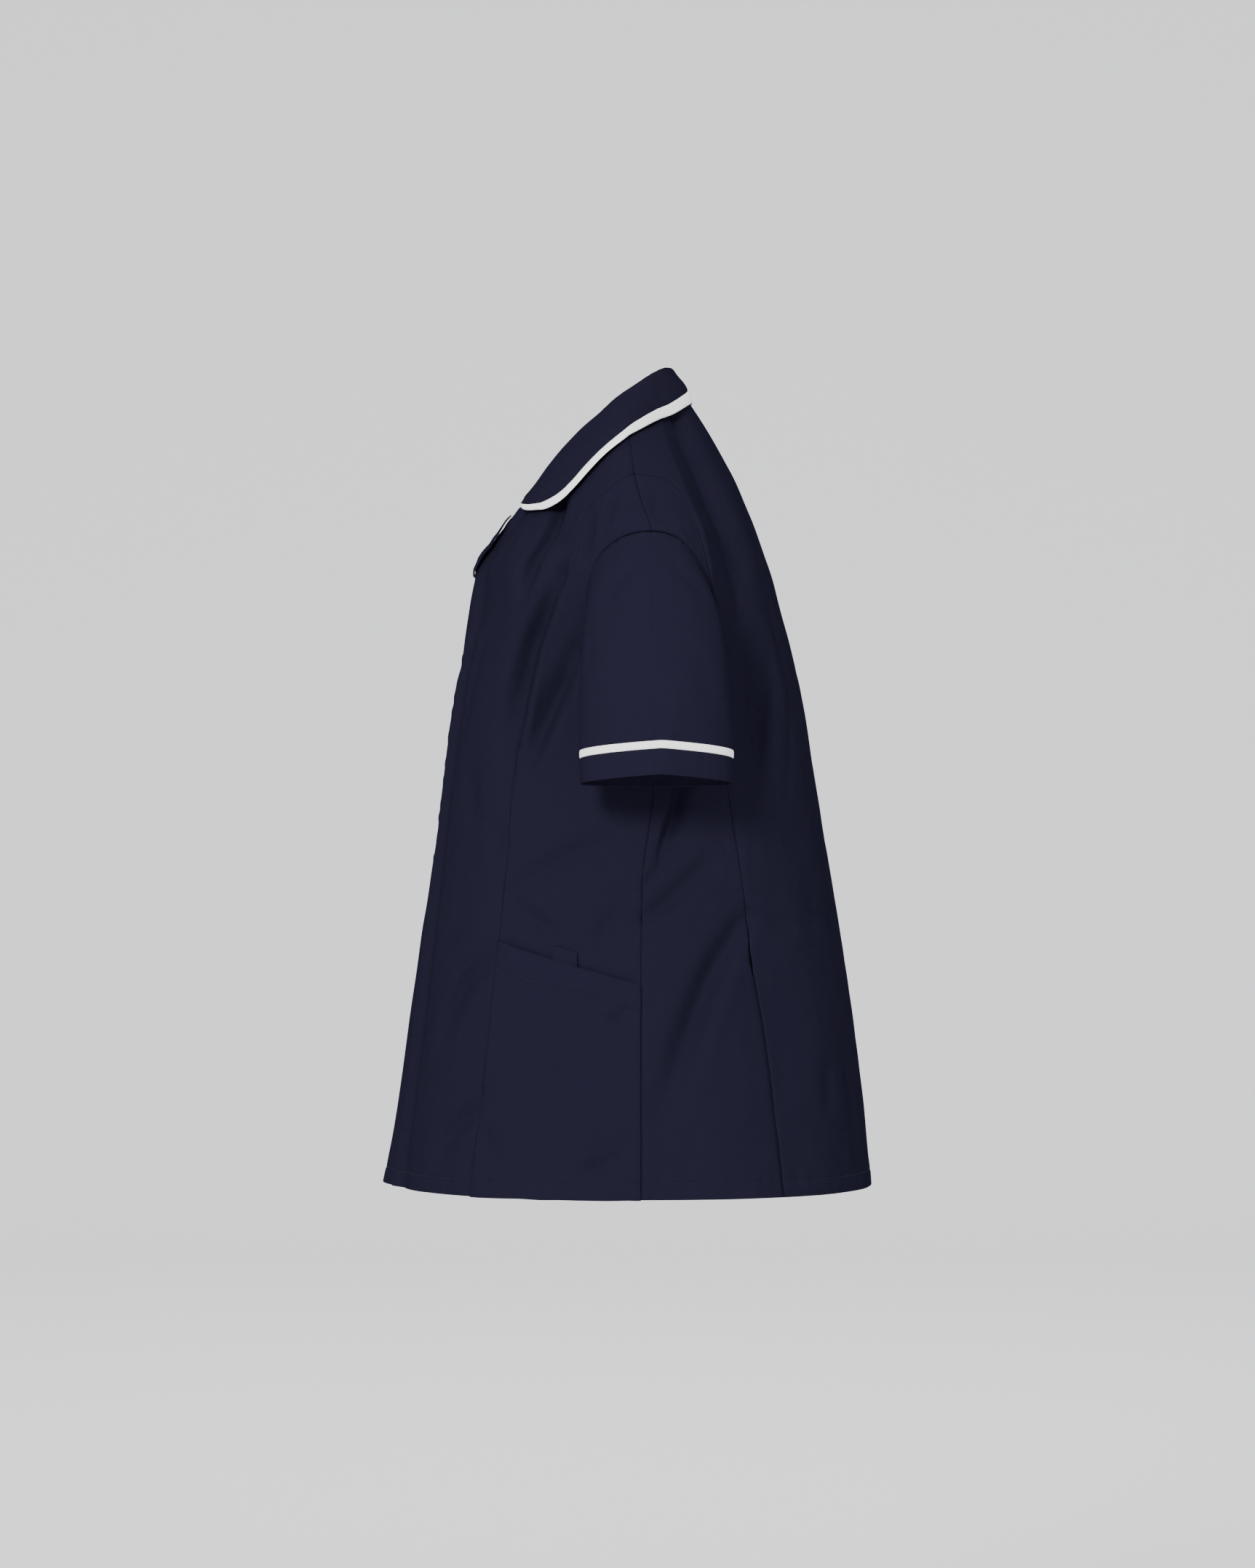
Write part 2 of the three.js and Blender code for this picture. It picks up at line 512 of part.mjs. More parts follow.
function addSleeve({ name, side }) {
  const trimTop = CUFF_BAND + SLEEVE_TRIM;
  const upper = sleeveGrid(side, (share, length) => lerp(length, trimTop + SEAM_GAP, share), SLEEVE_ROWS);
  add(`${name}_sleeve`, wallSolid(upper, WALL, { ring: true }));
  const trim = sleeveGrid(side, (share) => lerp(trimTop, CUFF_BAND + SEAM_GAP, share), 1);
  add(`${name}_sleeve_trim`, wallSolid(trim, WALL, { ring: true }), 'white');
  const band = sleeveGrid(side, (share) => lerp(CUFF_BAND, 0, share), 2);
  add(`${name}_cuff_band`, wallSolid(band, WALL, { ring: true }));
}

// Collar
const collar = Object.fromEntries(
  Object.keys(COLLAR[0]).filter((key) => key !== 'at').map((key) => [key, column(COLLAR, 'at', key)]),
);

function onBody(angle, z, lift) {
  return bodyPoint(angle, z).addScaledVector(bodyNormal(angle, z), lift);
}

// The neck seam at a height: round the back above the neck points, and down the front below them
function neckSeam(z) {
  return z >= 0
    ? { angle: rad(lerp(90, 180, z / NAPE_Z)), z }
    : { angle: angleAtX(z, frontEdgeX(z)), z };
}

// Pushes a point out until it stands clear of the body.
function clearOfBody(point, lift) {
  if (point.z > NAPE_Z) return point;
  const forward = body.sideY(point.z) - point.y;
  const depth = forward > 0 ? body.front(point.z) + body.sideY(point.z) : body.back(point.z) - body.sideY(point.z);
  const angle = Math.atan2(point.x / body.half(point.z), forward / depth);
  const out = bodyNormal(angle, point.z);
  const clearance = point.clone().sub(bodyPoint(angle, point.z)).dot(out);
  return clearance < lift ? point.clone().addScaledVector(out, lift - clearance) : point;
}

// One cross-section of the collar, from the neck seam up to the fold and down to the outer edge
function collarSection(share, side) {
  const at = Math.abs(share);
  const edge = onBody(side * rad(collar.edgeAngle(at)), collar.edgeZ(at), COLLAR_LIFT);
  const fold = new THREE.Vector3(side * collar.foldX(at), collar.foldY(at), collar.foldZ(at));
  const neck = neckSeam(collar.seamZ(at));
  const seam = onBody(side * neck.angle, neck.z, COLLAR_SEAM.lift);
  seam.addScaledVector(fold.clone().sub(seam).normalize(), COLLAR_SEAM.clear);
  const up = fold.clone().sub(seam.clone().lerp(edge, 0.5)).normalize();
  const out = edge.clone().sub(seam);
  out.addScaledVector(up, -out.dot(up)).normalize();
  const nip = Math.min(3, 0.35 * fold.distanceTo(seam));
  const bulge = 0.09 * fold.distanceTo(edge);
  const stops = [
    seam,
    seam.clone().lerp(fold, 0.5).addScaledVector(out, -0.4),
    fold.clone().addScaledVector(up, -nip).addScaledVector(out, -0.6 * nip),
    fold,
    fold.clone().addScaledVector(up, -nip).addScaledVector(out, nip),
    ...[0.3, 0.55, 0.8].map((s) => clearOfBody(
      fold.clone().lerp(edge, s).addScaledVector(out, bulge * Math.sin(Math.PI * s)), COLLAR_LIFT)),
    edge,
  ];
  return new THREE.CatmullRomCurve3(stops, false, 'centripetal');
}

// The whole collar's points: main steps from the neck seam to the trim, then the trim's own
function collarGrid() {
  const stations = Array.from({ length: 2 * COLLAR_STEPS + 1 }, (_, i) => Math.sin((i / COLLAR_STEPS - 1) * rad(90)));
  const points = stations.map((station) => {
    const section = collarSection(station, station < 0 ? -1 : 1);
    const trimFrom = 1 - COLLAR_TRIM / section.getLength();
    const main = Array.from({ length: MAIN_STEPS }, (_, j) => (trimFrom * j) / MAIN_STEPS);
    const trim = Array.from({ length: TRIM_STEPS + 1 }, (_, j) => lerp(trimFrom, 1, j / TRIM_STEPS));
    return [...main, ...trim].map((share) => section.getPointAt(share));
  });
  return points.map((row, i) => row.map((point, j) => {
    const ahead = points[Math.min(points.length - 1, i + 1)][j];
    const behind = points[Math.max(0, i - 1)][j];
    const across = row[Math.min(row.length - 1, j + 1)].clone().sub(row[Math.max(0, j - 1)]);
    return { point, out: ahead.clone().sub(behind).cross(across).normalize() };
  }));
}

function addCollar() {
  const grid = collarGrid();
  const drawnIn = (row, at, towards) => {
    const share = SEAM_GAP / row[at].point.distanceTo(row[towards].point);
    return mixed(row[at], row[towards], share);
  };
  const main = grid.map((row) => [...row.slice(0, MAIN_STEPS), drawnIn(row, MAIN_STEPS, MAIN_STEPS - 1)]);
  const trim = grid.map((row) => [drawnIn(row, MAIN_STEPS, MAIN_STEPS + 1), ...row.slice(MAIN_STEPS + 1)]);
  add('collar', wallSolid(main, WALL));
  add('collar_trim', wallSolid(trim, WALL), 'white');
}

// Pieces that lie on a panel are made from the panel's own points, moved out.
function mixed(a, b, share) {
  return { point: a.point.clone().lerp(b.point, share), out: a.out.clone().lerp(b.out, share).normalize() };
}

function layerSolid(grid, liftAt) {
  const lifted = grid.map((row, i) => row.map(({ point, out }, j) => ({
    point: point.clone().addScaledVector(out, SEAM_GAP + LAYER_WALL + liftAt(j / (row.length - 1), i / (grid.length - 1))),
    out,
  })));
  return wallSolid(lifted, LAYER_WALL);
}

// The row of a panel's grid at one column where it reaches a height
function atHeight(grid, column, z) {
  const above = grid.findIndex((row) => row[column].point.z > z);
  const [a, b] = [grid[above - 1][column], grid[above][column]];
  return mixed(a, b, (z - a.point.z) / (b.point.z - a.point.z));
}

function pocketGrid(panel) {
  const topZ = (j) => lerp(POCKET.frontZ, POCKET.sideZ, j / SIDE_STEPS);
  const whole = panel.filter((row) => row.every(({ point }, j) => point.z < topZ(j) - POCKET.rowSpace));
  const top = panel[0].map((_, j) => atHeight(panel, j, topZ(j)));
  const rows = [...whole, whole.at(-1).map((entry, j) => mixed(entry, top[j], 0.5)), top];
  return rows.map((row) => row.map((entry, j) => {
    if (j > 0 && j < SIDE_STEPS) return entry;
    const next = row[j === 0 ? 1 : j - 1];
    return mixed(entry, next, POCKET.inset / entry.point.distanceTo(next.point));
  }));
}

function addPocket({ name, side }) {
  const gape = (u, v) => POCKET.gape * Math.sin(Math.PI * u) * smoothstep(v, 0.7, 1);
  add(`${name}_pocket`, layerSolid(pocketGrid(outerGrid(sideFrontPlaces(), side)), gape));
}

function addPenLoop() {
  const panel = outerGrid(sideFrontPlaces(), 1);
  const rise = (share, u) => lerp(POCKET.frontZ, POCKET.sideZ, u) + PEN_LOOP.clear + PEN_LOOP.rise * share;
  const at = (u, share) => {
    const column = Math.floor(u * SIDE_STEPS);
    const [a, b] = [column, column + 1].map((j) => atHeight(panel, j, rise(share, u)));
    return mixed(a, b, u * SIDE_STEPS - column);
  };
  const grid = [0, 0.5, 1].map((share) => [0, 1 / 3, 2 / 3, 1].map((t) => at(lerp(PEN_LOOP.from, PEN_LOOP.to, t), share)));
  add('pen_loop', layerSolid(grid, () => 0.5));
}

// The front facing, turned back along the neckline as a narrow leaf below the collar's end
function addLapel({ name, side }) {
  const panel = side > 0 ? outerGrid(nearFrontPlaces(), side) : outerGrid(farFrontPlaces(), side, farFrontDepth);
  const grid = Array.from({ length: LAPEL.steps + 1 }, (_, i) => {
    const v = i / LAPEL.steps;
    const [a, b] = [0, 1].map((j) => atHeight(panel, j, lerp(LAPEL.bottomZ, LAPEL.topZ, v)));
    const width = 1.5 + LAPEL.width * Math.sin(Math.PI * v) ** 0.8;
    return [0, 0.5, 1].map((u) => mixed(a, b, (LAPEL.inset + u * width) / a.point.distanceTo(b.point)));
  });
  const clear = side > 0 ? LAPEL.clear : LAPEL.farClear;
  add(`${name}_neck_facing`, layerSolid(grid, (u) => clear + 1.5 * Math.sin(Math.PI * u)));
}

add('left_centre_front', panelSolid(nearFrontPlaces(), 1));
add('right_centre_front', panelSolid(farFrontPlaces(), -1, farFrontDepth));
SIDES.forEach(({ name, side }) => {
  add(`${name}_side_front`, panelSolid(sideFrontPlaces(), side));
  add(`${name}_side_back`, panelSolid(sideBackPlaces(), side, ventDepth));
});
add('centre_back', panelSolid(centreBackPlaces(), 1));
SIDES.forEach(addSleeve);
addCollar();
SIDES.forEach(addPocket);
addPenLoop();
SIDES.forEach(addLapel);

export default group;
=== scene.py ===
"""A short-sleeved navy work tunic with white trim, filled out as if worn, with nobody in it.

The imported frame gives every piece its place. Each piece of cloth here is a thin shell on the form
of its own solid, with the creases, seams, hems and stitches that the rigid solid leaves out.
Lengths are in millimetres until a mesh is made, and then in metres. The front faces -Y and the
wearer's left is +X.
"""

import logging
import math
from dataclasses import dataclass, field
from enum import Enum
from typing import Callable, Iterable, Sequence

import bpy
import numpy as np
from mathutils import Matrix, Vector


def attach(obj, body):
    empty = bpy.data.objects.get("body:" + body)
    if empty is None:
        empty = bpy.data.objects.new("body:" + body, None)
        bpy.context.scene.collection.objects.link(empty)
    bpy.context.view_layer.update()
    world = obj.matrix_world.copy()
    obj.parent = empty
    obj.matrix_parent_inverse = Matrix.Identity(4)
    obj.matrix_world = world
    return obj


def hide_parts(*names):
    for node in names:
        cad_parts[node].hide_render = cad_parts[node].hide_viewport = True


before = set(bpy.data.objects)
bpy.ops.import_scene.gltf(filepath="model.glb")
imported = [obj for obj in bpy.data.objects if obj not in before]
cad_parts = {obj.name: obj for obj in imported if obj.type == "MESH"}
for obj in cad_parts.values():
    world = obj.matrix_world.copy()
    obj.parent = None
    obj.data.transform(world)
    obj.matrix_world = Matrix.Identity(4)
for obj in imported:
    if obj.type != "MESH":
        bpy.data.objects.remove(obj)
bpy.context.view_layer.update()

logging.basicConfig(level=logging.INFO, format="%(message)s")
log = logging.getLogger("tunic")

Array = np.ndarray
Spot = tuple[float, float, float]
Spot2 = tuple[float, float]
Field = Callable[[Array, Array], Array]
MM = 0.001
CM2_PER_M2 = 1e4
ROOT = "root"
TURN = 2 * math.pi
QUARTER = math.pi / 2

# Cloth: thickness of one layer and of two, lift of a layer that lies on another, the least length
# of a flat size and the angle from which an edge is sharp
SINGLE = 0.8
DOUBLED = 1.4
LAYER_LIFT = 1.5
LAP_DEPTH = 2.1
MIN_FLAT = 10.0
SHARP_DEGREES = 55

# Heights along the body
HEM_Z = -677.0
UNDERARM_Z = -235.0
ARM_ROWS_Z = -240.0
PRINCESS_TOP_Z = -55.0
NAPE_Z = 24.0

# The solids' own rows, which the shells' edges follow
ROWS_BELOW = 20
ROWS_ARM = 10
ROWS = ROWS_BELOW + ROWS_ARM


class Slot(Enum):
    """The record's material slots."""

    NAVY = "navy_cloth"
    WHITE = "white_trim"


class View(Enum):
    """The side of the body from which a place is given: across and height, in millimetres."""

    LEFT = "left"
    RIGHT = "right"
    FRONT = "front"
    BACK = "back"


class Held(Enum):
    """How a sheet of cloth is held."""

    HUNG = "hung"
    FOLDED = "folded"
    STRETCHED = "stretched"


def smooth(value: Array | float, low: float, high: float) -> Array | float:
    """Rises softly from 0 at low to 1 at high."""
    share = np.clip((np.asarray(value, float) - low) / (high - low), 0, 1)
    return share * share * (3 - 2 * share)


def lerp(a: Array | float, b: Array | float, share: Array | float) -> Array | float:
    """Mixes a and b by a share from 0 to 1."""
    return a + (b - a) * share


def bell(distance: Array, width: float | Array) -> Array:
    """Gives a soft hump: 1 at distance 0, falling away on both sides over a width."""
    return np.exp(-((distance / width) ** 2))


def fade(distance: Array, width: float) -> Array:
    """Falls away from 1 at distance 0 over a width, steeply at first."""
    return np.exp(-distance / width)


def unit(vectors: Array) -> Array:
    """Scales each vector to length 1."""
    return vectors / np.maximum(np.linalg.norm(vectors, axis=-1, keepdims=True), 1e-9)


class Curve:
    """A smooth line through the rows of a table that never overshoots them."""

    def __init__(self, xs: Sequence[float], ys: Sequence[float]) -> None:
        """Takes the table's two columns, in any order.

        Args:
            xs: The first column.
            ys: The second column.
        """
        order = np.argsort(xs)
        self.x = np.asarray(xs, float)[order]
        self.y = np.asarray(ys, float)[order]
        rises = np.diff(self.y) / np.diff(self.x)
        product = rises[:-1] * rises[1:]
        total = np.where(product > 0, rises[:-1] + rises[1:], 1.0)
        inner = np.where(product > 0, 2 * product / total, 0.0)
        self.slope = np.concatenate([rises[:1], inner, rises[-1:]])

    def __call__(self, x: Array | float) -> Array:
        """Gives the line's height at x.

        Args:
            x: Places in the table's first column.

        Returns:
            The height at each.
        """
        x = np.clip(np.asarray(x, float), self.x[0], self.x[-1])
        i = np.clip(np.searchsorted(self.x, x, side="right") - 1, 0, len(self.x) - 2)
        span = self.x[i + 1] - self.x[i]
        t = (x - self.x[i]) / span
        t2, t3 = t * t, t * t * t
        return (
            (2 * t3 - 3 * t2 + 1) * self.y[i]
            + (t3 - 2 * t2 + t) * span * self.slope[i]
            + (3 * t2 - 2 * t3) * self.y[i + 1]
            + (t3 - t2) * span * self.slope[i + 1]
        )


@dataclass(frozen=True)
class Level:
    """One level outline of the body.

    chest and blades are how square the front and the back are, and keel is how far the middle of
    the front stands forward.
    """

    z: float
    front: float
    back: float
    half: float
    side_y: float
    chest: float
    blades: float
    keel: float


LEVELS = (
    Level(z=-677, front=217.5, back=216.5, half=187, side_y=11.5, chest=0.03, blades=0.03, keel=14),
    Level(z=-600, front=204, back=209, half=182, side_y=11.5, chest=0.03, blades=0.03, keel=10),
    Level(z=-490, front=188.5, back=195, half=175, side_y=11.5, chest=0.03, blades=0.03, keel=8),
    Level(z=-405, front=175.5, back=181, half=171, side_y=13, chest=0.03, blades=0.03, keel=5),
    Level(z=-322, front=165, back=167, half=173, side_y=22, chest=0.03, blades=0.03, keel=4.5),
    Level(z=-240, front=153, back=154, half=175, side_y=21, chest=0.03, blades=0.04, keel=4.5),
    Level(z=-207, front=146.5, back=146, half=180, side_y=20, chest=0.03, blades=0.05, keel=5),
    Level(z=-163, front=140.5, back=134, half=194, side_y=20, chest=0.02, blades=0.05, keel=11),
    Level(z=-134, front=137.5, back=126, half=200, side_y=20, chest=-0.03, blades=0.04, keel=9),
    Level(z=-107, front=116.5, back=116.5, half=199, side_y=20, chest=-0.08, blades=0.03, keel=1.5),
    Level(z=-80, front=97, back=106.5, half=178, side_y=12, chest=-0.1, blades=0.02, keel=0),
    Level(z=-56, front=76, back=97, half=156, side_y=6, chest=-0.1, blades=0.01, keel=0),
    Level(z=-33, front=58, back=85, half=133, side_y=3, chest=-0.08, blades=0, keel=0),
    Level(z=-15, front=41, back=75, half=105, side_y=1, chest=-0.05, blades=0, keel=0),
    Level(z=0, front=24, back=66, half=75, side_y=0, chest=0, blades=0, keel=0),
    Level(z=24, front=14, back=50, half=62, side_y=0, chest=0, blades=0, keel=0),
)
KEEL_X = -15.0
KEEL_WIDTH = 40.0


@dataclass(frozen=True)
class Crease:
    """A soft trough, or a ridge where depth is above 0, along a bowed line.

    start, by and end are places as seen from view. The shares say how much of the depth is left
    at each end, and flare how much wider the line gets towards its end. Seen along the line, lean
    throws up a ridge on its left if above 0 and on its right if below, and skew makes the left
    wall gentler and the right one steeper. The steeper wall of a folded crease starts at an edge.
    """

    view: View
    start: Spot2
    by: Spot2
    end: Spot2
    width: float
    depth: float
    shares: Spot2 = (0.0, 0.0)
    flare: float = 0.0
    lean: float = 0.0
    skew: float = 0.0
    folded: bool = False


CREASES = (
    # Chest and front, under the collar and along the front shaped seam
    Crease(View.LEFT, (-57, -82), (-71, -118), (-97, -184), 11, -21.0, (0.9, 0.0), -0.3, 0.0, -0.4),
    Crease(View.LEFT, (-86, -84), (-94, -120), (-108, -170), 9, 3.2, (0.4, 0.0), 0.2),
    Crease(View.LEFT, (-66, -110), (-55, -104), (-44, -124), 4.5, -5.0, (0.2, 0.1), 0, -0.5),
    Crease(View.LEFT, (-32, -88), (-29, -106), (-37, -140), 5.5, -5.5, (0.6, 0.0), 0.2, 0.5),
    Crease(View.LEFT, (-6, -66), (-18, -88), (-26, -118), 6.0, -4.0, (0.3, 0.0), 0.2, 0.4),
    Crease(View.LEFT, (25, -62), (22, -82), (24, -100), 6.0, -3.0, (0.2, 0.2), 0.2),
    Crease(View.LEFT, (-58, -128), (-50, -140), (-62, -156), 6.0, -5.0, (0.2, 0.2)),
    Crease(View.LEFT, (-56, -142), (-86, -202), (-102, -334), 11, -22.0, (0.4, 0.0), 0.1, 0.2, -0.5),
    Crease(View.LEFT, (-44, -212), (-66, -262), (-96, -328), 11, -16.0, (0.5, 0.0), 0.1, 0.2, -0.35),
    Crease(View.LEFT, (-54, -232), (-49, -246), (-52, -262), 4.5, -2.6, (0.2, 0.2), 0, 0.6),
    Crease(View.LEFT, (-138, -300), (-136, -334), (-129, -376), 11, -5.0),
    Crease(View.LEFT, (-110, -352), (-112, -376), (-108, -404), 8, -3.5),
    Crease(View.LEFT, (-100, -418), (-62, -386), (12, -364), 12, -7.0, (0.5, 0.0), 0.2),
    Crease(View.LEFT, (-99, -426), (-76, -440), (-48, -462), 7.5, -5.0, (0.6, 0.1)),
    Crease(View.LEFT, (-29, -466), (-18, -442), (-3, -417), 8, -4.0),
    # Side and side back, below the sleeve
    Crease(View.LEFT, (43, -318), (37, -350), (27, -386), 7.0, -10.0, (0.9, 0.25), -0.3, -0.4, 0.4),
    Crease(View.LEFT, (27, -390), (21, -399), (14, -412), 4.5, -3.2, (0.2, 0.5), 0, -0.4),
    Crease(View.LEFT, (82, -378), (50, -410), (14, -436), 9, -6.5, (0.0, 0.5), -0.3, 0.25),
    Crease(View.LEFT, (48, -418), (28, -430), (13, -436), 5.0, -2.4, (0.0, 0.4)),
    Crease(View.LEFT, (102, -436), (54, -488), (22, -642), 11, -13.0, (0.5, 0.0), 0.2, 0.3),
    Crease(View.LEFT, (112, -436), (132, -440), (152, -449), 6, -3.2, (0.5, 0.0)),
    Crease(View.LEFT, (172, -556), (176, -590), (178, -620), 8, -3.0),
    # The deep valley behind the shoulder and the sleeve
    Crease(
        View.LEFT, (46, -22), (88, -115), (106, -226), 30, -27.0, (0.5, 0.4), 0.1, skew=0.42,
        folded=True,
    ),
    Crease(View.LEFT, (105, -180), (105, -262), (101, -362), 24, -19.0, skew=0.42, folded=True),
    Crease(View.LEFT, (124, -192), (116, -262), (112, -342), 9, -5.0),
    Crease(View.LEFT, (139, -214), (143, -280), (137, -344), 8, -3.0),
    # Lower centre front
    Crease(View.LEFT, (-114, -470), (-156, -500), (-167, -578), 10, -8.5, (0.4, 0.0), 0.3, 0.2),
    Crease(View.LEFT, (-140, -448), (-156, -462), (-168, -482), 7, -4.0, (0.2, 0.0)),
    Crease(View.LEFT, (-124, -590), (-148, -618), (-172, -656), 8.5, -7.0, (0.3, 0.0), 0.2, 0.2),
    Crease(View.LEFT, (-131, -614), (-114, -632), (-105, -656), 6.5, -4.0, (0.4, 0.0)),
    Crease(View.LEFT, (-56, -658), (-18, -655), (3, -628), 8, -4.0, (0.1, 0.4)),
    Crease(View.LEFT, (-20, -534), (-8, -524), (5, -512), 6.5, -3.4, (0.0, 0.5)),
    # Behind
    Crease(View.BACK, (96, -120), (84, -200), (72, -300), 13, -3.6),
    Crease(View.BACK, (-92, -126), (-88, -208), (-66, -290), 13, -3.2),
    Crease(View.BACK, (34, -330), (44, -400), (28, -470), 14, -2.2),
    Crease(View.BACK, (-30, -352), (-48, -414), (-40, -480), 14, -2.4),
    Crease(View.BACK, (-104, -402), (-60, -428), (-8, -424), 10, -2.4, (0.4, 0.0), 0.2),
    Crease(View.BACK, (106, -416), (66, -446), (18, -448), 10, -2.2, (0.4, 0.0), 0.2),
    Crease(View.BACK, (64, -520), (78, -590), (70, -668), 12, -2.6, (0.0, 0.5)),
    Crease(View.BACK, (-52, -540), (-70, -600), (-84, -670), 12, -2.6, (0.0, 0.5)),
    Crease(View.BACK, (0, -46), (4, -80), (-2, -118), 14, -1.6),
    # Far front, beside the middle
    Crease(View.FRONT, (-96, -150), (-74, -196), (-58, -262), 9, -3.4, (0.2, 0.0), 0.3),
    Crease(View.FRONT, (88, -178), (70, -230), (62, -292), 9, -2.2, (0.1, 0.0), 0.3),
    Crease(View.FRONT, (-70, -420), (-84, -500), (-72, -600), 12, -2.6),
)

# How far the right side's creases may wander from the left's, and their share of the depth
RIGHT_SEED = 11
RIGHT_WANDER = 7.0
RIGHT_WANDER_SHARES = (0.6, 1.6)
RIGHT_DEPTHS = (0.7, 1.05)

# How much of the way out there is in the way in which the sides' creases go
SIDE_MIX = 0.25

PLANE_RADIUS = 165.0
ROUTE_STEPS = 12
ROUTE_REACH = 3.2

# Along a crease, the shares over which it reaches its full depth at its start and its end
RISE_SHARE = 0.38
FALL_SHARE = 0.45

# A folded crease's rounded edge and its flat wall, and where the ridge beside a crease lies
FOLD_ROUNDING = 1.5
FOLD_WALL = 1.9
BESIDE = 1.55


@dataclass(frozen=True)
class Route:
    """A crease laid out as a chain of points on a flat plane, in millimetres."""

    crease: Crease
    points: Array

    def depth(self, across: Array, along: Array) -> Array:
        """Gives how far the crease pushes the cloth out.

        Args:
            across: Places across the plane.
            along: Places along the plane.

        Returns:
            The push at each place, below 0 in a trough.
        """
        crease = self.crease
        reach = ROUTE_REACH * crease.width * (1 + abs(crease.flare))
        low, high = self.points.min(0) - reach, self.points.max(0) + reach
        near = (across > low[0]) & (across < high[0]) & (along > low[1]) & (along < high[1])
        result = np.zeros_like(across)
        if not near.any():
            return result
        place = np.stack([across[near], along[near]], -1)
        best = np.full(len(place), np.inf)
        signed, share = np.zeros(len(place)), np.zeros(len(place))
        steps = len(self.points) - 1
        for i, (a, b) in enumerate(zip(self.points[:-1], self.points[1:])):
            line = b - a
            t = np.clip((place - a) @ line / (line @ line), 0, 1)
            away = place - a - t[:, None] * line
            distance = np.hypot(away[:, 0], away[:, 1])
            closer = distance < best
            side = np.sign(line[0] * away[:, 1] - line[1] * away[:, 0])
            best = np.where(closer, distance, best)
            signed = np.where(closer, distance * side, signed)
            share = np.where(closer, (i + t) / steps, share)
        width = crease.width * (1 + crease.flare * (share - 0.5))
        width *= 1 + crease.skew * np.sign(signed)
        rise = lerp(crease.shares[0], 1.0, smooth(share, 0.0, RISE_SHARE))
        fall = lerp(crease.shares[1], 1.0, smooth(1 - share, 0.0, FALL_SHARE))
        shape = bell(signed, width)
        if crease.folded:
            flat = np.clip(1 - np.hypot(signed, FOLD_ROUNDING) / (FOLD_WALL * width), 0, 1)
            shape = np.where(signed * crease.skew < 0, flat, shape)
        beside = bell(signed - math.copysign(BESIDE, crease.lean) * width, width)
        result[near] = crease.depth * rise * fall * (shape - 0.5 * abs(crease.lean) * beside)
        return result


def bowed(start: Array, by: Array, end: Array) -> Array:
    """Lays ROUTE_STEPS steps along a curve from start to end that is drawn towards by."""
    t = np.linspace(0, 1, ROUTE_STEPS + 1)[:, None]
    return (1 - t) ** 2 * start + 2 * t * (1 - t) * by + t**2 * end


class Ripples:
    """Slight unevenness of cloth: a few long waves with directions and phases of their own."""

    def __init__(self, seed: int, lengths: tuple[float, float], height: float, waves: int = 7) -> None:
        """Draws the waves.

        Args:
            seed: Start of the random draw.
            lengths: Shortest and longest wave.
            height: Rough height of the waves together.
            waves: How many there are.
        """
        draw = np.random.default_rng(seed)
        length = draw.uniform(*lengths, waves)
        angle = draw.uniform(-0.9, 0.9, waves)
        self.kx = TURN / length * np.cos(angle)
        self.ky = TURN / length * np.sin(angle) * 0.6
        self.phase = draw.uniform(0, TURN, waves)
        self.height = height / math.sqrt(waves)

    def __call__(self, across: Array, along: Array) -> Array:
        """Gives the unevenness at each place."""
        waves = zip(self.kx, self.ky, self.phase)
        return self.height * sum(np.sin(kx * across + ky * along + phase) for kx, ky, phase in waves)


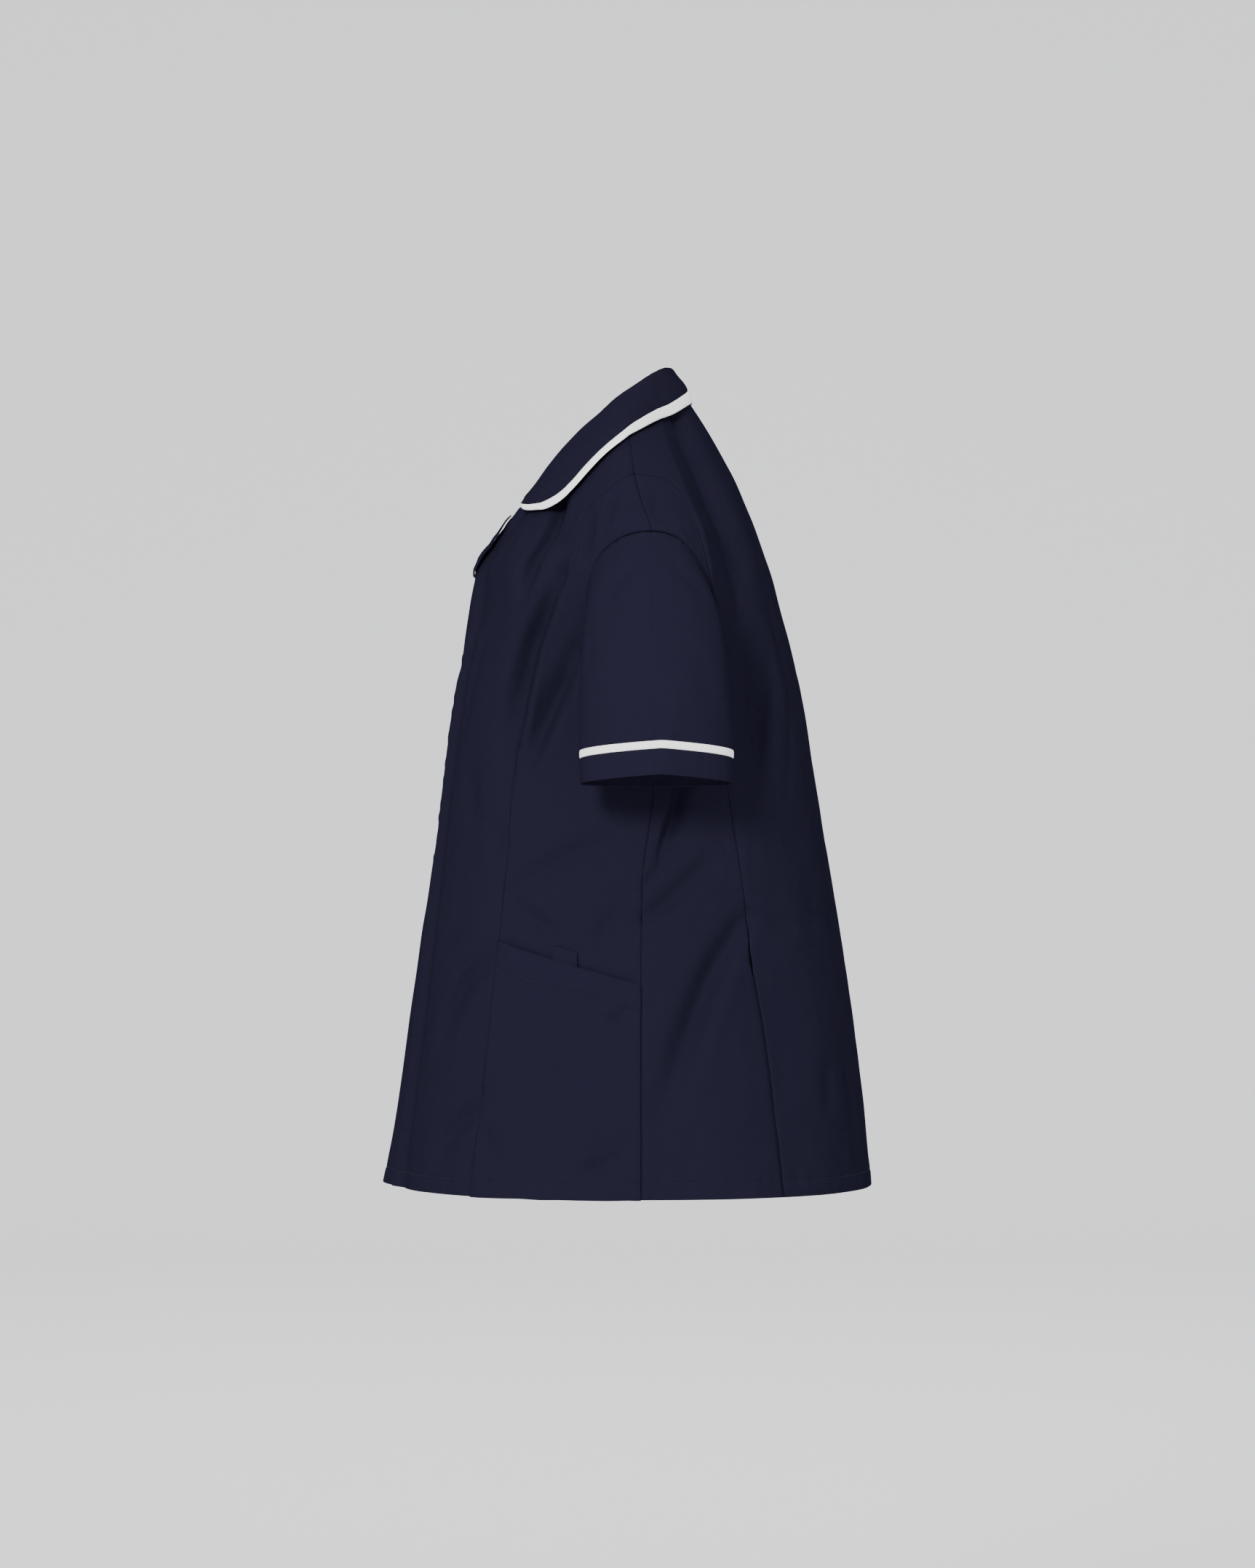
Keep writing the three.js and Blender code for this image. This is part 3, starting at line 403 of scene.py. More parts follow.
class BodyForm:
    """The filled-out form that the body of the tunic hangs in.

    Places are an angle, from 0 at the middle of the front by a quarter turn at the left side to
    half a turn at the back, and a height.
    """

    ripples_from = (-40.0, -110.0)
    halvings = 40

    def __init__(self) -> None:
        """Reads the table of levels and lays the creases out."""
        zs = [level.z for level in LEVELS]
        self.columns = {
            name: Curve(zs, [getattr(level, name) for level in LEVELS])
            for name in ("front", "back", "half", "side_y", "chest", "blades", "keel")
        }
        self.routes = [self.route(crease) for crease in (*CREASES, *self.right_creases())]
        self.ripples = Ripples(seed=3, lengths=(38, 120), height=0.55)
        self.fine = Ripples(seed=5, lengths=(14, 34), height=0.16)

    def plain(self, angle: Array, z: Array) -> Array:
        """Gives the smooth form's points, with no creases.

        Args:
            angle: Angles round the form.
            z: Heights.

        Returns:
            The points.
        """
        angle, z = np.broadcast_arrays(np.asarray(angle, float), np.asarray(z, float))
        at = {name: column(z) for name, column in self.columns.items()}
        cos = np.cos(angle)
        ahead = cos > 0
        depth = np.where(ahead, at["front"] - at["keel"] + at["side_y"], at["back"] - at["side_y"])
        swell = 1 + np.where(ahead, at["chest"], at["blades"]) * np.sin(2 * angle) ** 2
        x = at["half"] * np.sin(angle) * swell
        keel = np.where(ahead, at["keel"] * bell(x - KEEL_X, KEEL_WIDTH), 0)
        return np.stack([x, at["side_y"] - depth * cos * swell - keel, z], -1)

    def plain_normal(self, angle: Array, z: Array) -> Array:
        """Gives the way out of the smooth form.

        Args:
            angle: Angles round the form.
            z: Heights.

        Returns:
            Unit vectors.
        """
        turn, lift = 0.004, 0.8
        along = self.plain(angle + turn, z) - self.plain(angle - turn, z)
        up = self.plain(angle, z + lift) - self.plain(angle, z - lift)
        return unit(np.cross(along, up))

    def point(self, angle: Array, z: Array) -> Array:
        """Gives the creased form's points.

        Args:
            angle: Angles round the form.
            z: Heights.

        Returns:
            The points.
        """
        sideways, outwards = self.pushes(angle, z)
        out = self.plain_normal(angle, z)
        aside = np.stack([np.sign(np.sin(angle + 0 * z)), 0 * out[..., 1], 0 * out[..., 2]], -1)
        turned = unit(SIDE_MIX * out + aside)
        return self.plain(angle, z) + out * outwards[..., None] + turned * sideways[..., None]

    def relief(self, angle: Array, z: Array) -> Array:
        """Gives how far creases and unevenness push the cloth, in all."""
        sideways, outwards = self.pushes(angle, z)
        return sideways + outwards

    def pushes(self, angle: Array, z: Array) -> tuple[Array, Array]:
        """Gives how far the creases of the sides push the cloth sideways, and the rest outwards.

        Args:
            angle: Angles round the form.
            z: Heights.

        Returns:
            Both pushes.
        """
        angle, z = np.broadcast_arrays(np.asarray(angle, float), np.asarray(z, float))
        across = np.arctan2(np.sin(angle), np.cos(angle)) * PLANE_RADIUS
        sides = [route for route in self.routes if route.crease.view in (View.LEFT, View.RIGHT)]
        others = [route for route in self.routes if route.crease.view in (View.FRONT, View.BACK)]
        sideways = sum(route.depth(across, z) for route in sides)
        lap = TURN * PLANE_RADIUS
        behind = np.where(across < 0, across + lap, across - lap)
        push = sum(route.depth(across, z) + route.depth(behind, z) for route in others)
        rest = smooth(z, *self.ripples_from)
        return sideways, push + rest * (self.ripples(np.abs(across), z) + self.fine(across, z))

    def angle_at(self, z: Array, value: Array, axis: int, low: float, high: float) -> Array:
        """Finds the angle between low and high where the form reaches a value.

        Args:
            z: Heights.
            value: X or Y to reach, growing with the angle.
            axis: 0 for X and 1 for Y.
            low: Smallest angle.
            high: Largest angle.

        Returns:
            The angle at each height.
        """
        z, value = np.broadcast_arrays(np.asarray(z, float), np.asarray(value, float))
        a, b = np.full(z.shape, low), np.full(z.shape, high)
        for _ in range(self.halvings):
            middle = (a + b) / 2
            short = self.plain(middle, z)[..., axis] < value
            a, b = np.where(short, middle, a), np.where(short, b, middle)
        return (a + b) / 2

    def front_angle(self, z: Array, y: Array) -> Array:
        """Gives the angle on the left front that has a Y."""
        return self.angle_at(z, y, 1, math.radians(4), QUARTER)

    def back_angle(self, z: Array, y: Array) -> Array:
        """Gives the angle on the left back that has a Y."""
        return self.angle_at(z, y, 1, QUARTER, math.radians(178))

    def front_angle_x(self, z: Array, x: Array) -> Array:
        """Gives the angle on the front that has an X."""
        return np.sign(x) * self.angle_at(z, np.abs(x), 0, 0.0, QUARTER)

    def route(self, crease: Crease) -> Route:
        """Lays a crease out on the plane of angle and height.

        Args:
            crease: The crease.

        Returns:
            Its route.
        """
        stops = []
        for across, z in (crease.start, crease.by, crease.end):
            if crease.view is View.FRONT:
                angle = float(self.front_angle_x(z, across))
            elif crease.view is View.BACK:
                angle = math.pi - float(self.front_angle_x(z, across))
            else:
                behind = across > self.columns["side_y"](z)
                angle = float((self.back_angle if behind else self.front_angle)(z, across))
                angle *= -1 if crease.view is View.RIGHT else 1
            stops.append(np.array([angle * PLANE_RADIUS, z]))
        return Route(crease, bowed(*stops))

    def right_creases(self) -> Iterable[Crease]:
        """Gives creases like the left side's for the right one, each a little different.

        Returns:
            The creases, one by one.
        """
        draw = np.random.default_rng(RIGHT_SEED)
        for crease in CREASES:
            if crease.view is not View.LEFT:
                continue
            shift = draw.uniform(-RIGHT_WANDER, RIGHT_WANDER, 6)
            stops = [
                tuple(place[k] + shift[2 * i + k] * RIGHT_WANDER_SHARES[k] for k in (0, 1))
                for i, place in enumerate((crease.start, crease.by, crease.end))
            ]
            depth = crease.depth * draw.uniform(*RIGHT_DEPTHS)
            yield Crease(
                View.RIGHT, *stops, crease.width, depth, crease.shares, crease.flare, -crease.lean,
                -crease.skew, crease.folded,
            )


@dataclass(frozen=True)
class SeamTable:
    """Where a seam or edge runs on the left half: pairs of a height and a Y or an X."""

    rows: tuple[Spot2, ...]

    def curve(self) -> Curve:
        """Gives the seam as a smooth line over height."""
        return Curve([row[0] for row in self.rows], [row[1] for row in self.rows])


FRONT_PRINCESS_Y = SeamTable((
    (-677, -136), (-560, -122), (-454, -111), (-389, -105), (-333, -101), (-259, -91), (-208, -79),
    (-179, -69), (-156, -56), (-130, -45), (-114, -41), (-93, -38), (-83, -33), (-70, -18), (-61, -6),
    (-55, 6),
))
BACK_PRINCESS_Y = SeamTable((
    (-677, 135), (-621, 128), (-549, 119), (-481, 108), (-416, 100), (-351, 90), (-324, 86),
    (-260, 80), (-220, 77), (-180, 74), (-150, 71), (-110, 62), (-67, 42), (-59, 32), (-55, 6),
))
FRONT_EDGE_X = SeamTable((
    (-677, 30), (-400, 26), (-240, 24), (-150, 22), (-115, 28), (-79, 36), (-56, 44), (-33, 57),
    (-15, 69), (0, 75),
))

Places = tuple[Array, Array]


@dataclass(frozen=True)
class Vent:
    """The slit at the foot of each back shaped seam."""

    top_z: float = -484.0
    full_z: float = -506.0
    set_in_z: float = -462.0
    flush_z: float = -430.0
    width: float = 15.0


@dataclass(frozen=True)
class Armhole:
    """The armhole's size on the body."""

    y: float = 20.0
    z: float = -171.0
    ahead: float = 54.0
    behind: float = 46.0
    half_z: float = 64.0
    roundness: float = 0.87


class Pattern:
    """The edges of every panel, as places on the body for rows that rise from the hem."""

    underlap = 14.0
    underlap_top_z = -172.0
    underlap_end_z = -114.0
    groove = 4.8
    groove_width = 8.0
    ridge = 2.6
    ridge_x = -16.0
    ridge_width = 15.0
    roll = 6.5
    roll_width = 22.0
    roll_from = (70, 88)
    roll_to = (112, 142)
    lap_across = (-48, -4)
    lap_from = (100, 130)
    groove_from = (130, 165)

    def __init__(self, form: BodyForm) -> None:
        """Takes the body's form and reads the seam tables.

        Args:
            form: The body's form.
        """
        self.form = form
        self.vent = Vent()
        self.armhole = Armhole()
        self.front_princess_y = FRONT_PRINCESS_Y.curve()
        self.back_princess_y = BACK_PRINCESS_Y.curve()
        self.front_edge_x = FRONT_EDGE_X.curve()

    @staticmethod
    def arm_share(rows: Array) -> Array:
        """Gives how far each row is from the underarm to the top."""
        return np.maximum(0, rows - ROWS_BELOW) / ROWS_ARM

    def seam(self, rows: Array, seam_y: Curve, angle_of: Field) -> Places:
        """Gives a shaped seam's places.

        Args:
            rows: The panel's rows.
            seam_y: Its Y over height.
            angle_of: Gives the angle for a height and a Y.

        Returns:
            The place of each row.
        """
        low = lerp(HEM_Z, ARM_ROWS_Z, np.minimum(1, rows / ROWS_BELOW))
        high = lerp(ARM_ROWS_Z, PRINCESS_TOP_Z, 1 - (1 - self.arm_share(rows)) ** 1.6)
        z = np.where(rows <= ROWS_BELOW, low, high)
        return np.where(rows >= ROWS, QUARTER, angle_of(z, seam_y(z))), z

    def front_princess(self, rows: Array) -> Places:
        """Gives the front shaped seam's places."""
        return self.seam(rows, self.front_princess_y, self.form.front_angle)

    def back_princess(self, rows: Array) -> Places:
        """Gives the back shaped seam's places."""
        return self.seam(rows, self.back_princess_y, self.form.back_angle)

    def vent_edge(self, rows: Array) -> Places:
        """Gives the side back's own edge, which runs on under the centre back at the vent.

        Args:
            rows: The panel's rows.

        Returns:
            The place of each row.
        """
        angle, z = self.back_princess(rows)
        extra = self.vent.width * smooth(-z, -self.vent.top_z, -self.vent.full_z)
        return angle + extra / PLANE_RADIUS, z

    def front_edge(self, rows: Array) -> Places:
        """Gives the near front's edge and neckline.

        Args:
            rows: The panel's rows.

        Returns:
            The place of each row.
        """
        low = lerp(HEM_Z, ARM_ROWS_Z, np.minimum(1, rows / ROWS_BELOW))
        z = np.where(rows <= ROWS_BELOW, low, lerp(ARM_ROWS_Z, 0.0, self.arm_share(rows)))
        angle = self.form.front_angle_x(z, self.front_edge_x(z))
        return np.where(rows >= ROWS, QUARTER, angle), z

    def far_front_edge(self, rows: Array) -> Places:
        """Gives the far front's edge, which lies past the middle under the near front."""
        angle, z = self.front_edge(rows)
        return np.where(rows >= ROWS, angle, self.form.front_angle_x(z, self.far_edge_x(z))), z

    def far_edge_x(self, z: Array) -> Array:
        """Gives how far out the far front's edge lies, below 0 once it is past the middle."""
        past = smooth(self.underlap_end_z - z, 0, self.underlap_end_z - self.underlap_top_z)
        return lerp(self.front_edge_x(z), -(self.front_edge_x(z) + self.underlap), past)

    def armhole_places(self, turn: Array, grow: float = 0.0) -> Places:
        """Gives places round the armhole, from its top round the back and the foot to the front.

        Args:
            turn: Turns round it.
            grow: How far outside it they lie.

        Returns:
            The place at each turn.
        """
        hole = self.armhole
        sin, cos = np.sin(turn), np.cos(turn)
        reach = np.where(sin < 0, hole.ahead, hole.behind) + grow
        y = hole.y + reach * np.sign(sin) * np.abs(sin) ** hole.roundness
        z = hole.z + (hole.half_z + grow) * np.sign(cos) * np.abs(cos) ** hole.roundness
        side_y = self.form.columns["side_y"](z)
        angle = np.where(y < side_y, self.form.front_angle(z, y), self.form.back_angle(z, y))
        return np.where(np.abs(sin) < 1e-6, QUARTER, angle), z

    def side(self, rows: Array, way: int) -> Places:
        """Gives the side seam and then the armhole, round its front if way is 1, else its back.

        Args:
            rows: The panel's rows.
            way: 1 for the front and -1 for the back.

        Returns:
            The place of each row.
        """
        low = lerp(HEM_Z, UNDERARM_Z, np.minimum(1, rows / ROWS_BELOW))
        angle, z = self.armhole_places(math.pi * (1 + way * self.arm_share(rows)))
        below = rows <= ROWS_BELOW
        return np.where(below, QUARTER, angle), np.where(below, low, z)

    def far_front_depth(self, angle: Array, z: Array) -> Array:
        """Gives how far the far front is set in where the near front laps over it.

        Args:
            angle: Angles on the left half of the form.
            z: Heights.

        Returns:
            The depth, below 0 where the front rolls out below the collar.
        """
        x = -self.form.plain(angle, z)[..., 0]
        lap = LAP_DEPTH * smooth(x, *self.lap_across) * smooth(-z, *self.lap_from)
        groove = self.groove * bell(x - self.front_edge_x(z) + 3, self.groove_width)
        ridge = self.ridge * bell(x - self.ridge_x, self.ridge_width)
        from_edge = np.maximum(0, -x - self.far_edge_x(z))
        rolled = self.roll * bell(from_edge, self.roll_width)
        rolled *= smooth(-z, *self.roll_from) * (1 - smooth(-z, *self.roll_to))
        return lap + (groove - ridge) * smooth(-z, *self.groove_from) - rolled

    def vent_depth(self, angle: Array, z: Array) -> Array:
        """Gives how far the side back is set in where the centre back laps over it.

        Args:
            angle: Angles on the left half of the form.
            z: Heights.

        Returns:
            The depth at each.
        """
        seam = self.form.back_angle(z, self.back_princess_y(z))
        near = smooth((angle - seam) * PLANE_RADIUS, -26, -3)
        return LAP_DEPTH * near * smooth(-z, -self.vent.flush_z, -self.vent.set_in_z)


# How the grid of a panel closes up towards its edges, as distances from the edge
EDGE_STEPS = np.array([0.0, 0.3, 0.8, 1.6, 3.0, 5.2, 8.4])
HEM_STEPS = np.array([0.0, 0.4, 1.2, 3.0, 6.0, 9.5, 12.2, 13.3, 14.0, 14.7, 15.8, 18.0, 21.0])
TOP_STEPS = np.array([0.945, 0.96, 0.972, 0.982, 0.99, 0.995, 0.9985, 1.0])
HEM_ROW = 8
GRID_STEP = 3.0
ARM_STEPS = 60


def panel_rows() -> Array:
    """Gives the rows of every panel, close together at the hem.

    Returns:
        Row numbers, from 0 at the hem.
    """
    climb = ARM_ROWS_Z - HEM_Z
    even = np.arange(HEM_STEPS[-1] + GRID_STEP, climb - GRID_STEP / 2, GRID_STEP)
    below = np.concatenate([HEM_STEPS, even, [climb]]) / climb * ROWS_BELOW
    climb_shares = np.linspace(0, TOP_STEPS[0], ARM_STEPS + 1)[1:-1]
    above = ROWS_BELOW + ROWS_ARM * np.concatenate([climb_shares, TOP_STEPS])
    return np.concatenate([below, above])


PANEL_NAMES = (
    "left_centre_front", "right_centre_front", "left_side_front", "right_side_front", "left_side_back",
    "right_side_back", "centre_back",
)


@dataclass
class Grid:
    """A grid of points on the outer face of a piece of cloth, with the way out at each."""

    points: Array
    out: Array
    ring: bool = False
    thickness: Array | float = SINGLE

    def pushed(self, distance: Array | float) -> "Grid":
        """Gives the grid moved out by a distance."""
        push = np.broadcast_to(np.asarray(distance, float), self.points.shape[:2])[..., None]
        return Grid(self.points + self.out * push, self.out, self.ring, self.thickness)

    def across(self) -> Array:
        """Gives each point's distance along its row, from the first column."""
        steps = np.linalg.norm(np.diff(self.points, axis=1), axis=-1)
        return np.concatenate([np.zeros((len(steps), 1)), np.cumsum(steps, 1)], 1)

    def along(self) -> Array:
        """Gives each point's distance up its column, from the first row."""
        steps = np.linalg.norm(np.diff(self.points, axis=0), axis=-1)
        return np.concatenate([np.zeros((1, steps.shape[1])), np.cumsum(steps, 0)], 0)

    def row(self, index: int, skip: int = 3) -> tuple[Array, Array]:
        """Gives one row's points and ways out, without the first and last few."""
        return self.points[index, skip:-skip], self.out[index, skip:-skip]

    def below_top(self, distance: float, skip: int = 3) -> tuple[Array, Array]:
        """Gives the line that lies a distance below the top row.

        Args:
            distance: The distance.
            skip: How many columns are left out at each side.

        Returns:
            Its points and ways out.
        """
        along = self.along()
        columns = range(skip, self.points.shape[1] - skip)
        line, out = [], []
        for j in columns:
            level = along[-1, j] - distance
            line.append([np.interp(level, along[:, j], self.points[:, j, k]) for k in range(3)])
            out.append([np.interp(level, along[:, j], self.out[:, j, k]) for k in range(3)])
        return np.array(line), unit(np.array(out))


def ways_out(points: Array, guide: Array, ring: bool = False) -> Array:
    """Gives the way out at each grid point.

    Args:
        points: The grid.
        guide: Rough ways out, which settle the sign.
        ring: Whether the last column meets the first.

    Returns:
        Unit vectors square to the grid.
    """
    if ring:
        wide = np.concatenate([points[:, -1:], points, points[:, :1]], 1)
        across = np.gradient(wide, axis=1)[:, 1:-1]
    else:
        across = np.gradient(points, axis=1)
    out = unit(np.cross(across, np.gradient(points, axis=0)))
    return out * np.sign(np.sum(out * guide, -1, keepdims=True) + 1e-12)


class ClothPiece:
    """A piece of cloth: its shell, its finish and what is said of it."""

    def __init__(self, name: str, grid: Grid, slot: Slot, held: Held) -> None:
        """Takes the piece's name, which is its node's too, its grid and how it is held.

        Args:
            name: The piece's name and its node's.
            grid: Its outer face.
            slot: Its material slot.
            held: How it is held.
        """
        self.name = name
        self.grid = grid
        self.slot = slot
        self.held = held

    def build(self, finish: "ClothFinish", rests_on: Sequence[str] = ()) -> bpy.types.Object:
        """Args:
            finish: The finish that it is dressed in.
            rests_on: Nodes that it lies on. Not used.

        Returns:
            The new object.
        """
        obj = shell_object(f"{self.name}_cloth", self.grid)
        obj.data.materials.append(finish.material())
        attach(obj, ROOT)
        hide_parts(self.name)
        width, length, area = self.flat()
        size = (width / MM, length / MM, area * CM2_PER_M2)
        log.info("%s: cut %.0f x %.0f mm, %.0f cm2", self.name, *size)
        return obj

    def flat(self) -> tuple[float, float, float]:
        """Gives the width, length and area of the piece laid flat, in metres.

        Returns:
            The three measures.
        """
        points = self.grid.points
        if self.grid.ring:
            points = np.concatenate([points, points[:, :1]], 1)
        closed = Grid(points, points)
        width, length = closed.across()[:, -1].max(), closed.along()[-1].max()
        a = points[1:, 1:] - points[:-1, :-1]
        b = points[1:, :-1] - points[:-1, 1:]
        area = np.linalg.norm(np.cross(a, b), axis=-1).sum() / 2
        length = max(length, area / width, MIN_FLAT)
        return width * MM, length * MM, area * MM * MM


def smooth_object(name: str, verts: list, faces: list) -> bpy.types.Object:
    """Makes an object with soft shading.

    Args:
        name: Its name and its mesh's.
        verts: Points, in metres.
        faces: Numbers of each face's points.

    Returns:
        The new object, linked to the scene.
    """
    mesh = bpy.data.meshes.new(name)
    mesh.from_pydata(verts, [], faces)
    mesh.polygons.foreach_set("use_smooth", np.ones(len(mesh.polygons), bool))
    mesh.update()
    obj = bpy.data.objects.new(name, mesh)
    bpy.context.scene.collection.objects.link(obj)
    return obj


def shell_object(name: str, grid: Grid) -> bpy.types.Object:
    """Makes a closed thin shell from a grid, with cloth coordinates in metres.

    Args:
        name: The object's name.
        grid: Outer points, ways out and thickness.

    Returns:
        The new object, linked to the scene.
    """
    rows, columns = grid.points.shape[:2]
    thickness = np.broadcast_to(np.asarray(grid.thickness, float), (rows, columns))[..., None]
    inner = grid.points - grid.out * thickness
    verts = np.concatenate([grid.points.reshape(-1, 3), inner.reshape(-1, 3)]) * MM
    index = np.arange(rows * columns).reshape(rows, columns)
    if grid.ring:
        index = np.concatenate([index, index[:, :1]], 1)
    a, b, c, d = index[:-1, :-1], index[:-1, 1:], index[1:, 1:], index[1:, :-1]
    outer_quads = np.stack([a, b, c, d], -1).reshape(-1, 4)
    offset = rows * columns
    quads = [outer_quads, outer_quads[:, ::-1] + offset]

    def rim(line: Array, backwards: bool) -> None:
        """Closes one edge of the shell."""
        near, far = (line[1:], line[:-1]) if backwards else (line[:-1], line[1:])
        quads.append(np.stack([near, near + offset, far + offset, far], -1))

    rim(index[0], False)
    rim(index[-1], True)
    if not grid.ring:
        rim(index[:, 0], True)
        rim(index[:, -1], False)
    faces = np.concatenate(quads)
    normal = np.cross(grid.points[0, 1] - grid.points[0, 0], grid.points[1, 0] - grid.points[0, 0])
    if normal @ grid.out[0, 0] < 0:
        faces = faces[:, ::-1]
    obj = smooth_object(name, verts.tolist(), faces.tolist())
    mesh = obj.data
    uv = cloth_coordinates(grid)
    layer = mesh.uv_layers.new(name="cloth")
    loops = np.empty(len(mesh.loops), int)
    mesh.loops.foreach_get("vertex_index", loops)
    layer.data.foreach_set("uv", np.concatenate([uv, uv])[loops].ravel())
    mesh.set_sharp_from_angle(angle=math.radians(SHARP_DEGREES))
    mesh.update()
    return obj


def cloth_coordinates(grid: Grid) -> Array:
    """Gives each point's place in the cloth, in metres across and along its threads.

    Args:
        grid: The grid.

    Returns:
        One row for each point.
    """
    across = grid.across()
    middle = across[:, -1:] / 2
    along = grid.along().mean(1, keepdims=True)
    return np.stack([across - middle, np.broadcast_to(along, across.shape)], -1).reshape(-1, 2) * MM


@dataclass
class Edge:
    """How one side edge of a panel is finished.

    A free edge stands off by lift, with a hollow beside it, and a sewn one is free below the
    height open_below.
    """

    sewn: bool = True
    seed: int = 1
    lift: float = 0.4
    reach: float = 10.0
    hollow: float = 0.0
    open_below: float = -1000.0


@dataclass(frozen=True)
class SeamForm:
    """The form that sewing gives to cloth: a ditch, a fuller band over the allowance, puckers."""

    ditch: float = 0.95
    ditch_width: float = 0.5
    dip: float = 0.3
    dip_width: float = 2.0
    band: float = 0.3
    allowance: float = 11.0
    ease: float = 2.5
    pucker_width: float = 8.0

    def push(self, distance: Array, uneven: Array) -> Array:
        """Gives how far the cloth is pushed out.

        Args:
            distance: Each point's distance from the seam.
            uneven: The puckers' height at each.

        Returns:
            The push at each.
        """
        ditch = -self.ditch * fade(distance, self.ditch_width)
        dip = -self.dip * bell(distance, self.dip_width)
        band = self.band * (1 - smooth(distance, self.allowance - self.ease, self.allowance))
        return ditch + dip + band + uneven * bell(distance, self.pucker_width)


class Panel:
    """One panel of the body, between two long edges."""

    seam = SeamForm()
    pucker = 0.34
    top_pucker = 0.2
    edge_waves = 0.35
    turned_in = (24, 26)
    groove = 0.35
    hem_band = 0.3
    hem_pucker = 0.32

    def __init__(self, pattern: Pattern, name: str, side: int, left: Edge, right: Edge) -> None:
        """Takes the pattern, the node's name, the side of the body and the two edges' finish.

        Args:
            pattern: The pattern.
            name: The panel's name and its node's.
            side: 1 for the left side and -1 for the right.
            left: Finish of its first long edge.
            right: Finish of its second long edge.
        """
        self.pattern = pattern
        self.form = pattern.form
        self.name = name
        self.side = side
        self.left = left
        self.right = right

    def columns(self, left: Places, right: Places) -> Array:
        """Gives the share across of each column in each row, close together at both edges.

        Args:
            left: Places of the first long edge.
            right: Places of the second long edge.

        Returns:
            The shares.
        """
        coarse = np.linspace(0, 1, 17)
        angle = lerp(left[0][:, None], right[0][:, None], coarse)
        z = lerp(left[1][:, None], right[1][:, None], coarse)
        width = Grid(self.form.plain(angle, z), angle).across()[:, -1]
        middle = max(4, int(round((width.max() - 2 * EDGE_STEPS[-1]) / GRID_STEP)))
        squeeze = np.minimum(1, width / (3.2 * EDGE_STEPS[-1]))[:, None]
        rim = EDGE_STEPS * squeeze / width[:, None]
        even = np.linspace(0, 1, middle + 1)[1:-1]
        inner = lerp(rim[:, -1:], 1 - rim[:, -1:], even)
        return np.concatenate([rim, inner, 1 - rim[:, ::-1]], 1)

    def grid(self, left: Places, right: Places, depth: Field | None = None) -> Grid:
        """Gives the panel's outer face.

        Args:
            left: Places of the first long edge.
            right: Places of the second long edge.
            depth: How far the cloth is set in, by angle and height.

        Returns:
            The grid, with seams, hem and creases.
        """
        share = self.columns(left, right)
        angle = lerp(left[0][:, None], right[0][:, None], share)
        z = lerp(left[1][:, None], right[1][:, None], share)
        return self.dressed(angle, z, depth)

    def dressed(
        self, angle: Array, z: Array, depth: Field | None = None, top_sewn: Array | float = 1.0,
    ) -> Grid:
        """Turns places into the panel's outer face, with its seams and its hem.

        Args:
            angle: Each grid point's angle on the left half of the form.
            z: Each one's height.
            depth: How far the cloth is set in, by angle and height.
            top_sewn: How much of a seam shows along the top, from 0 to 1.

        Returns:
            The grid.
        """
        own = self.side * angle
        points = self.form.point(own, z)
        out = ways_out(points, self.form.plain_normal(own, z))
        if depth is not None:
            points = points - out * depth(angle, z)[..., None]
        grid = Grid(points, out)
        across, along = grid.across(), grid.along()
        width = across[:, -1:]
        push = np.zeros_like(across)
        for edge, distance in ((self.left, across), (self.right, width - across)):
            push += self.edge_push(edge, distance, along, z)
        push += self.hem_push(along, across) + top_sewn * self.top_push(along[-1:] - along, across)
        thick = np.where(along < HEM_STEPS[HEM_ROW], DOUBLED, SINGLE)
        for edge, distance in ((self.left, across), (self.right, width - across)):
            free = np.where(edge.sewn, z < edge.open_below, True)
            turned = lerp(DOUBLED, SINGLE, smooth(distance, *self.turned_in))
            thick = np.where(free, np.maximum(thick, turned), thick)
        points = points + out * push[..., None]
        out = ways_out(points, out)
        return Grid(points, out, thickness=thick)

    def edge_push(self, edge: Edge, distance: Array, along: Array, z: Array) -> Array:
        """Gives the form of a long edge: a seam's ditch, allowance and puckers, or a free edge.

        Args:
            edge: How it is finished.
            distance: Each point's distance from it.
            along: Each point's distance up the panel.
            z: Each point's height.

        Returns:
            How far each point is pushed out.
        """
        waves = Ripples(seed=edge.seed, lengths=(9, 30), height=1.0, waves=5)
        uneven = waves(along, 0 * along)
        lifted = edge.lift * bell(distance, edge.reach) - 0.5 * bell(distance, 0.6)
        lifted -= edge.hollow * bell(distance - 2 * edge.reach, edge.reach)
        free = lifted + self.edge_waves * uneven * bell(distance, 10)
        if not edge.sewn:
            return free
        sewn = self.seam.push(distance, self.pucker * uneven)
        return lerp(sewn, free, smooth(edge.open_below - z, 0, 7))

    def top_push(self, distance: Array, across: Array) -> Array:
        """Gives the form of the shoulder seam at the panel's top.

        Args:
            distance: Distances below the top.
            across: Distances across the panel.

        Returns:
            The push at each point.
        """
        waves = Ripples(seed=19, lengths=(9, 24), height=1.0, waves=5)
        return self.seam.push(distance, self.top_pucker * waves(across, 0 * across))

    def hem_push(self, along: Array, across: Array) -> Array:
        """Gives the form of the turned-up hem: a fuller band, its stitched groove and its edge.

        Args:
            along: Distances up the panel.
            across: Distances across it.

        Returns:
            The push at each point.
        """
        hem = HEM_STEPS[HEM_ROW]
        waves = Ripples(seed=17, lengths=(8, 26), height=1.0, waves=6)
        groove = -self.groove * bell(along - hem, 1.0)
        band = self.hem_band * (1 - smooth(along, hem - 2, hem)) - 0.5 * bell(along, 0.6)
        uneven = waves(across, 0 * across) * bell(along - hem, 9) * self.hem_pucker
        return groove + band + uneven


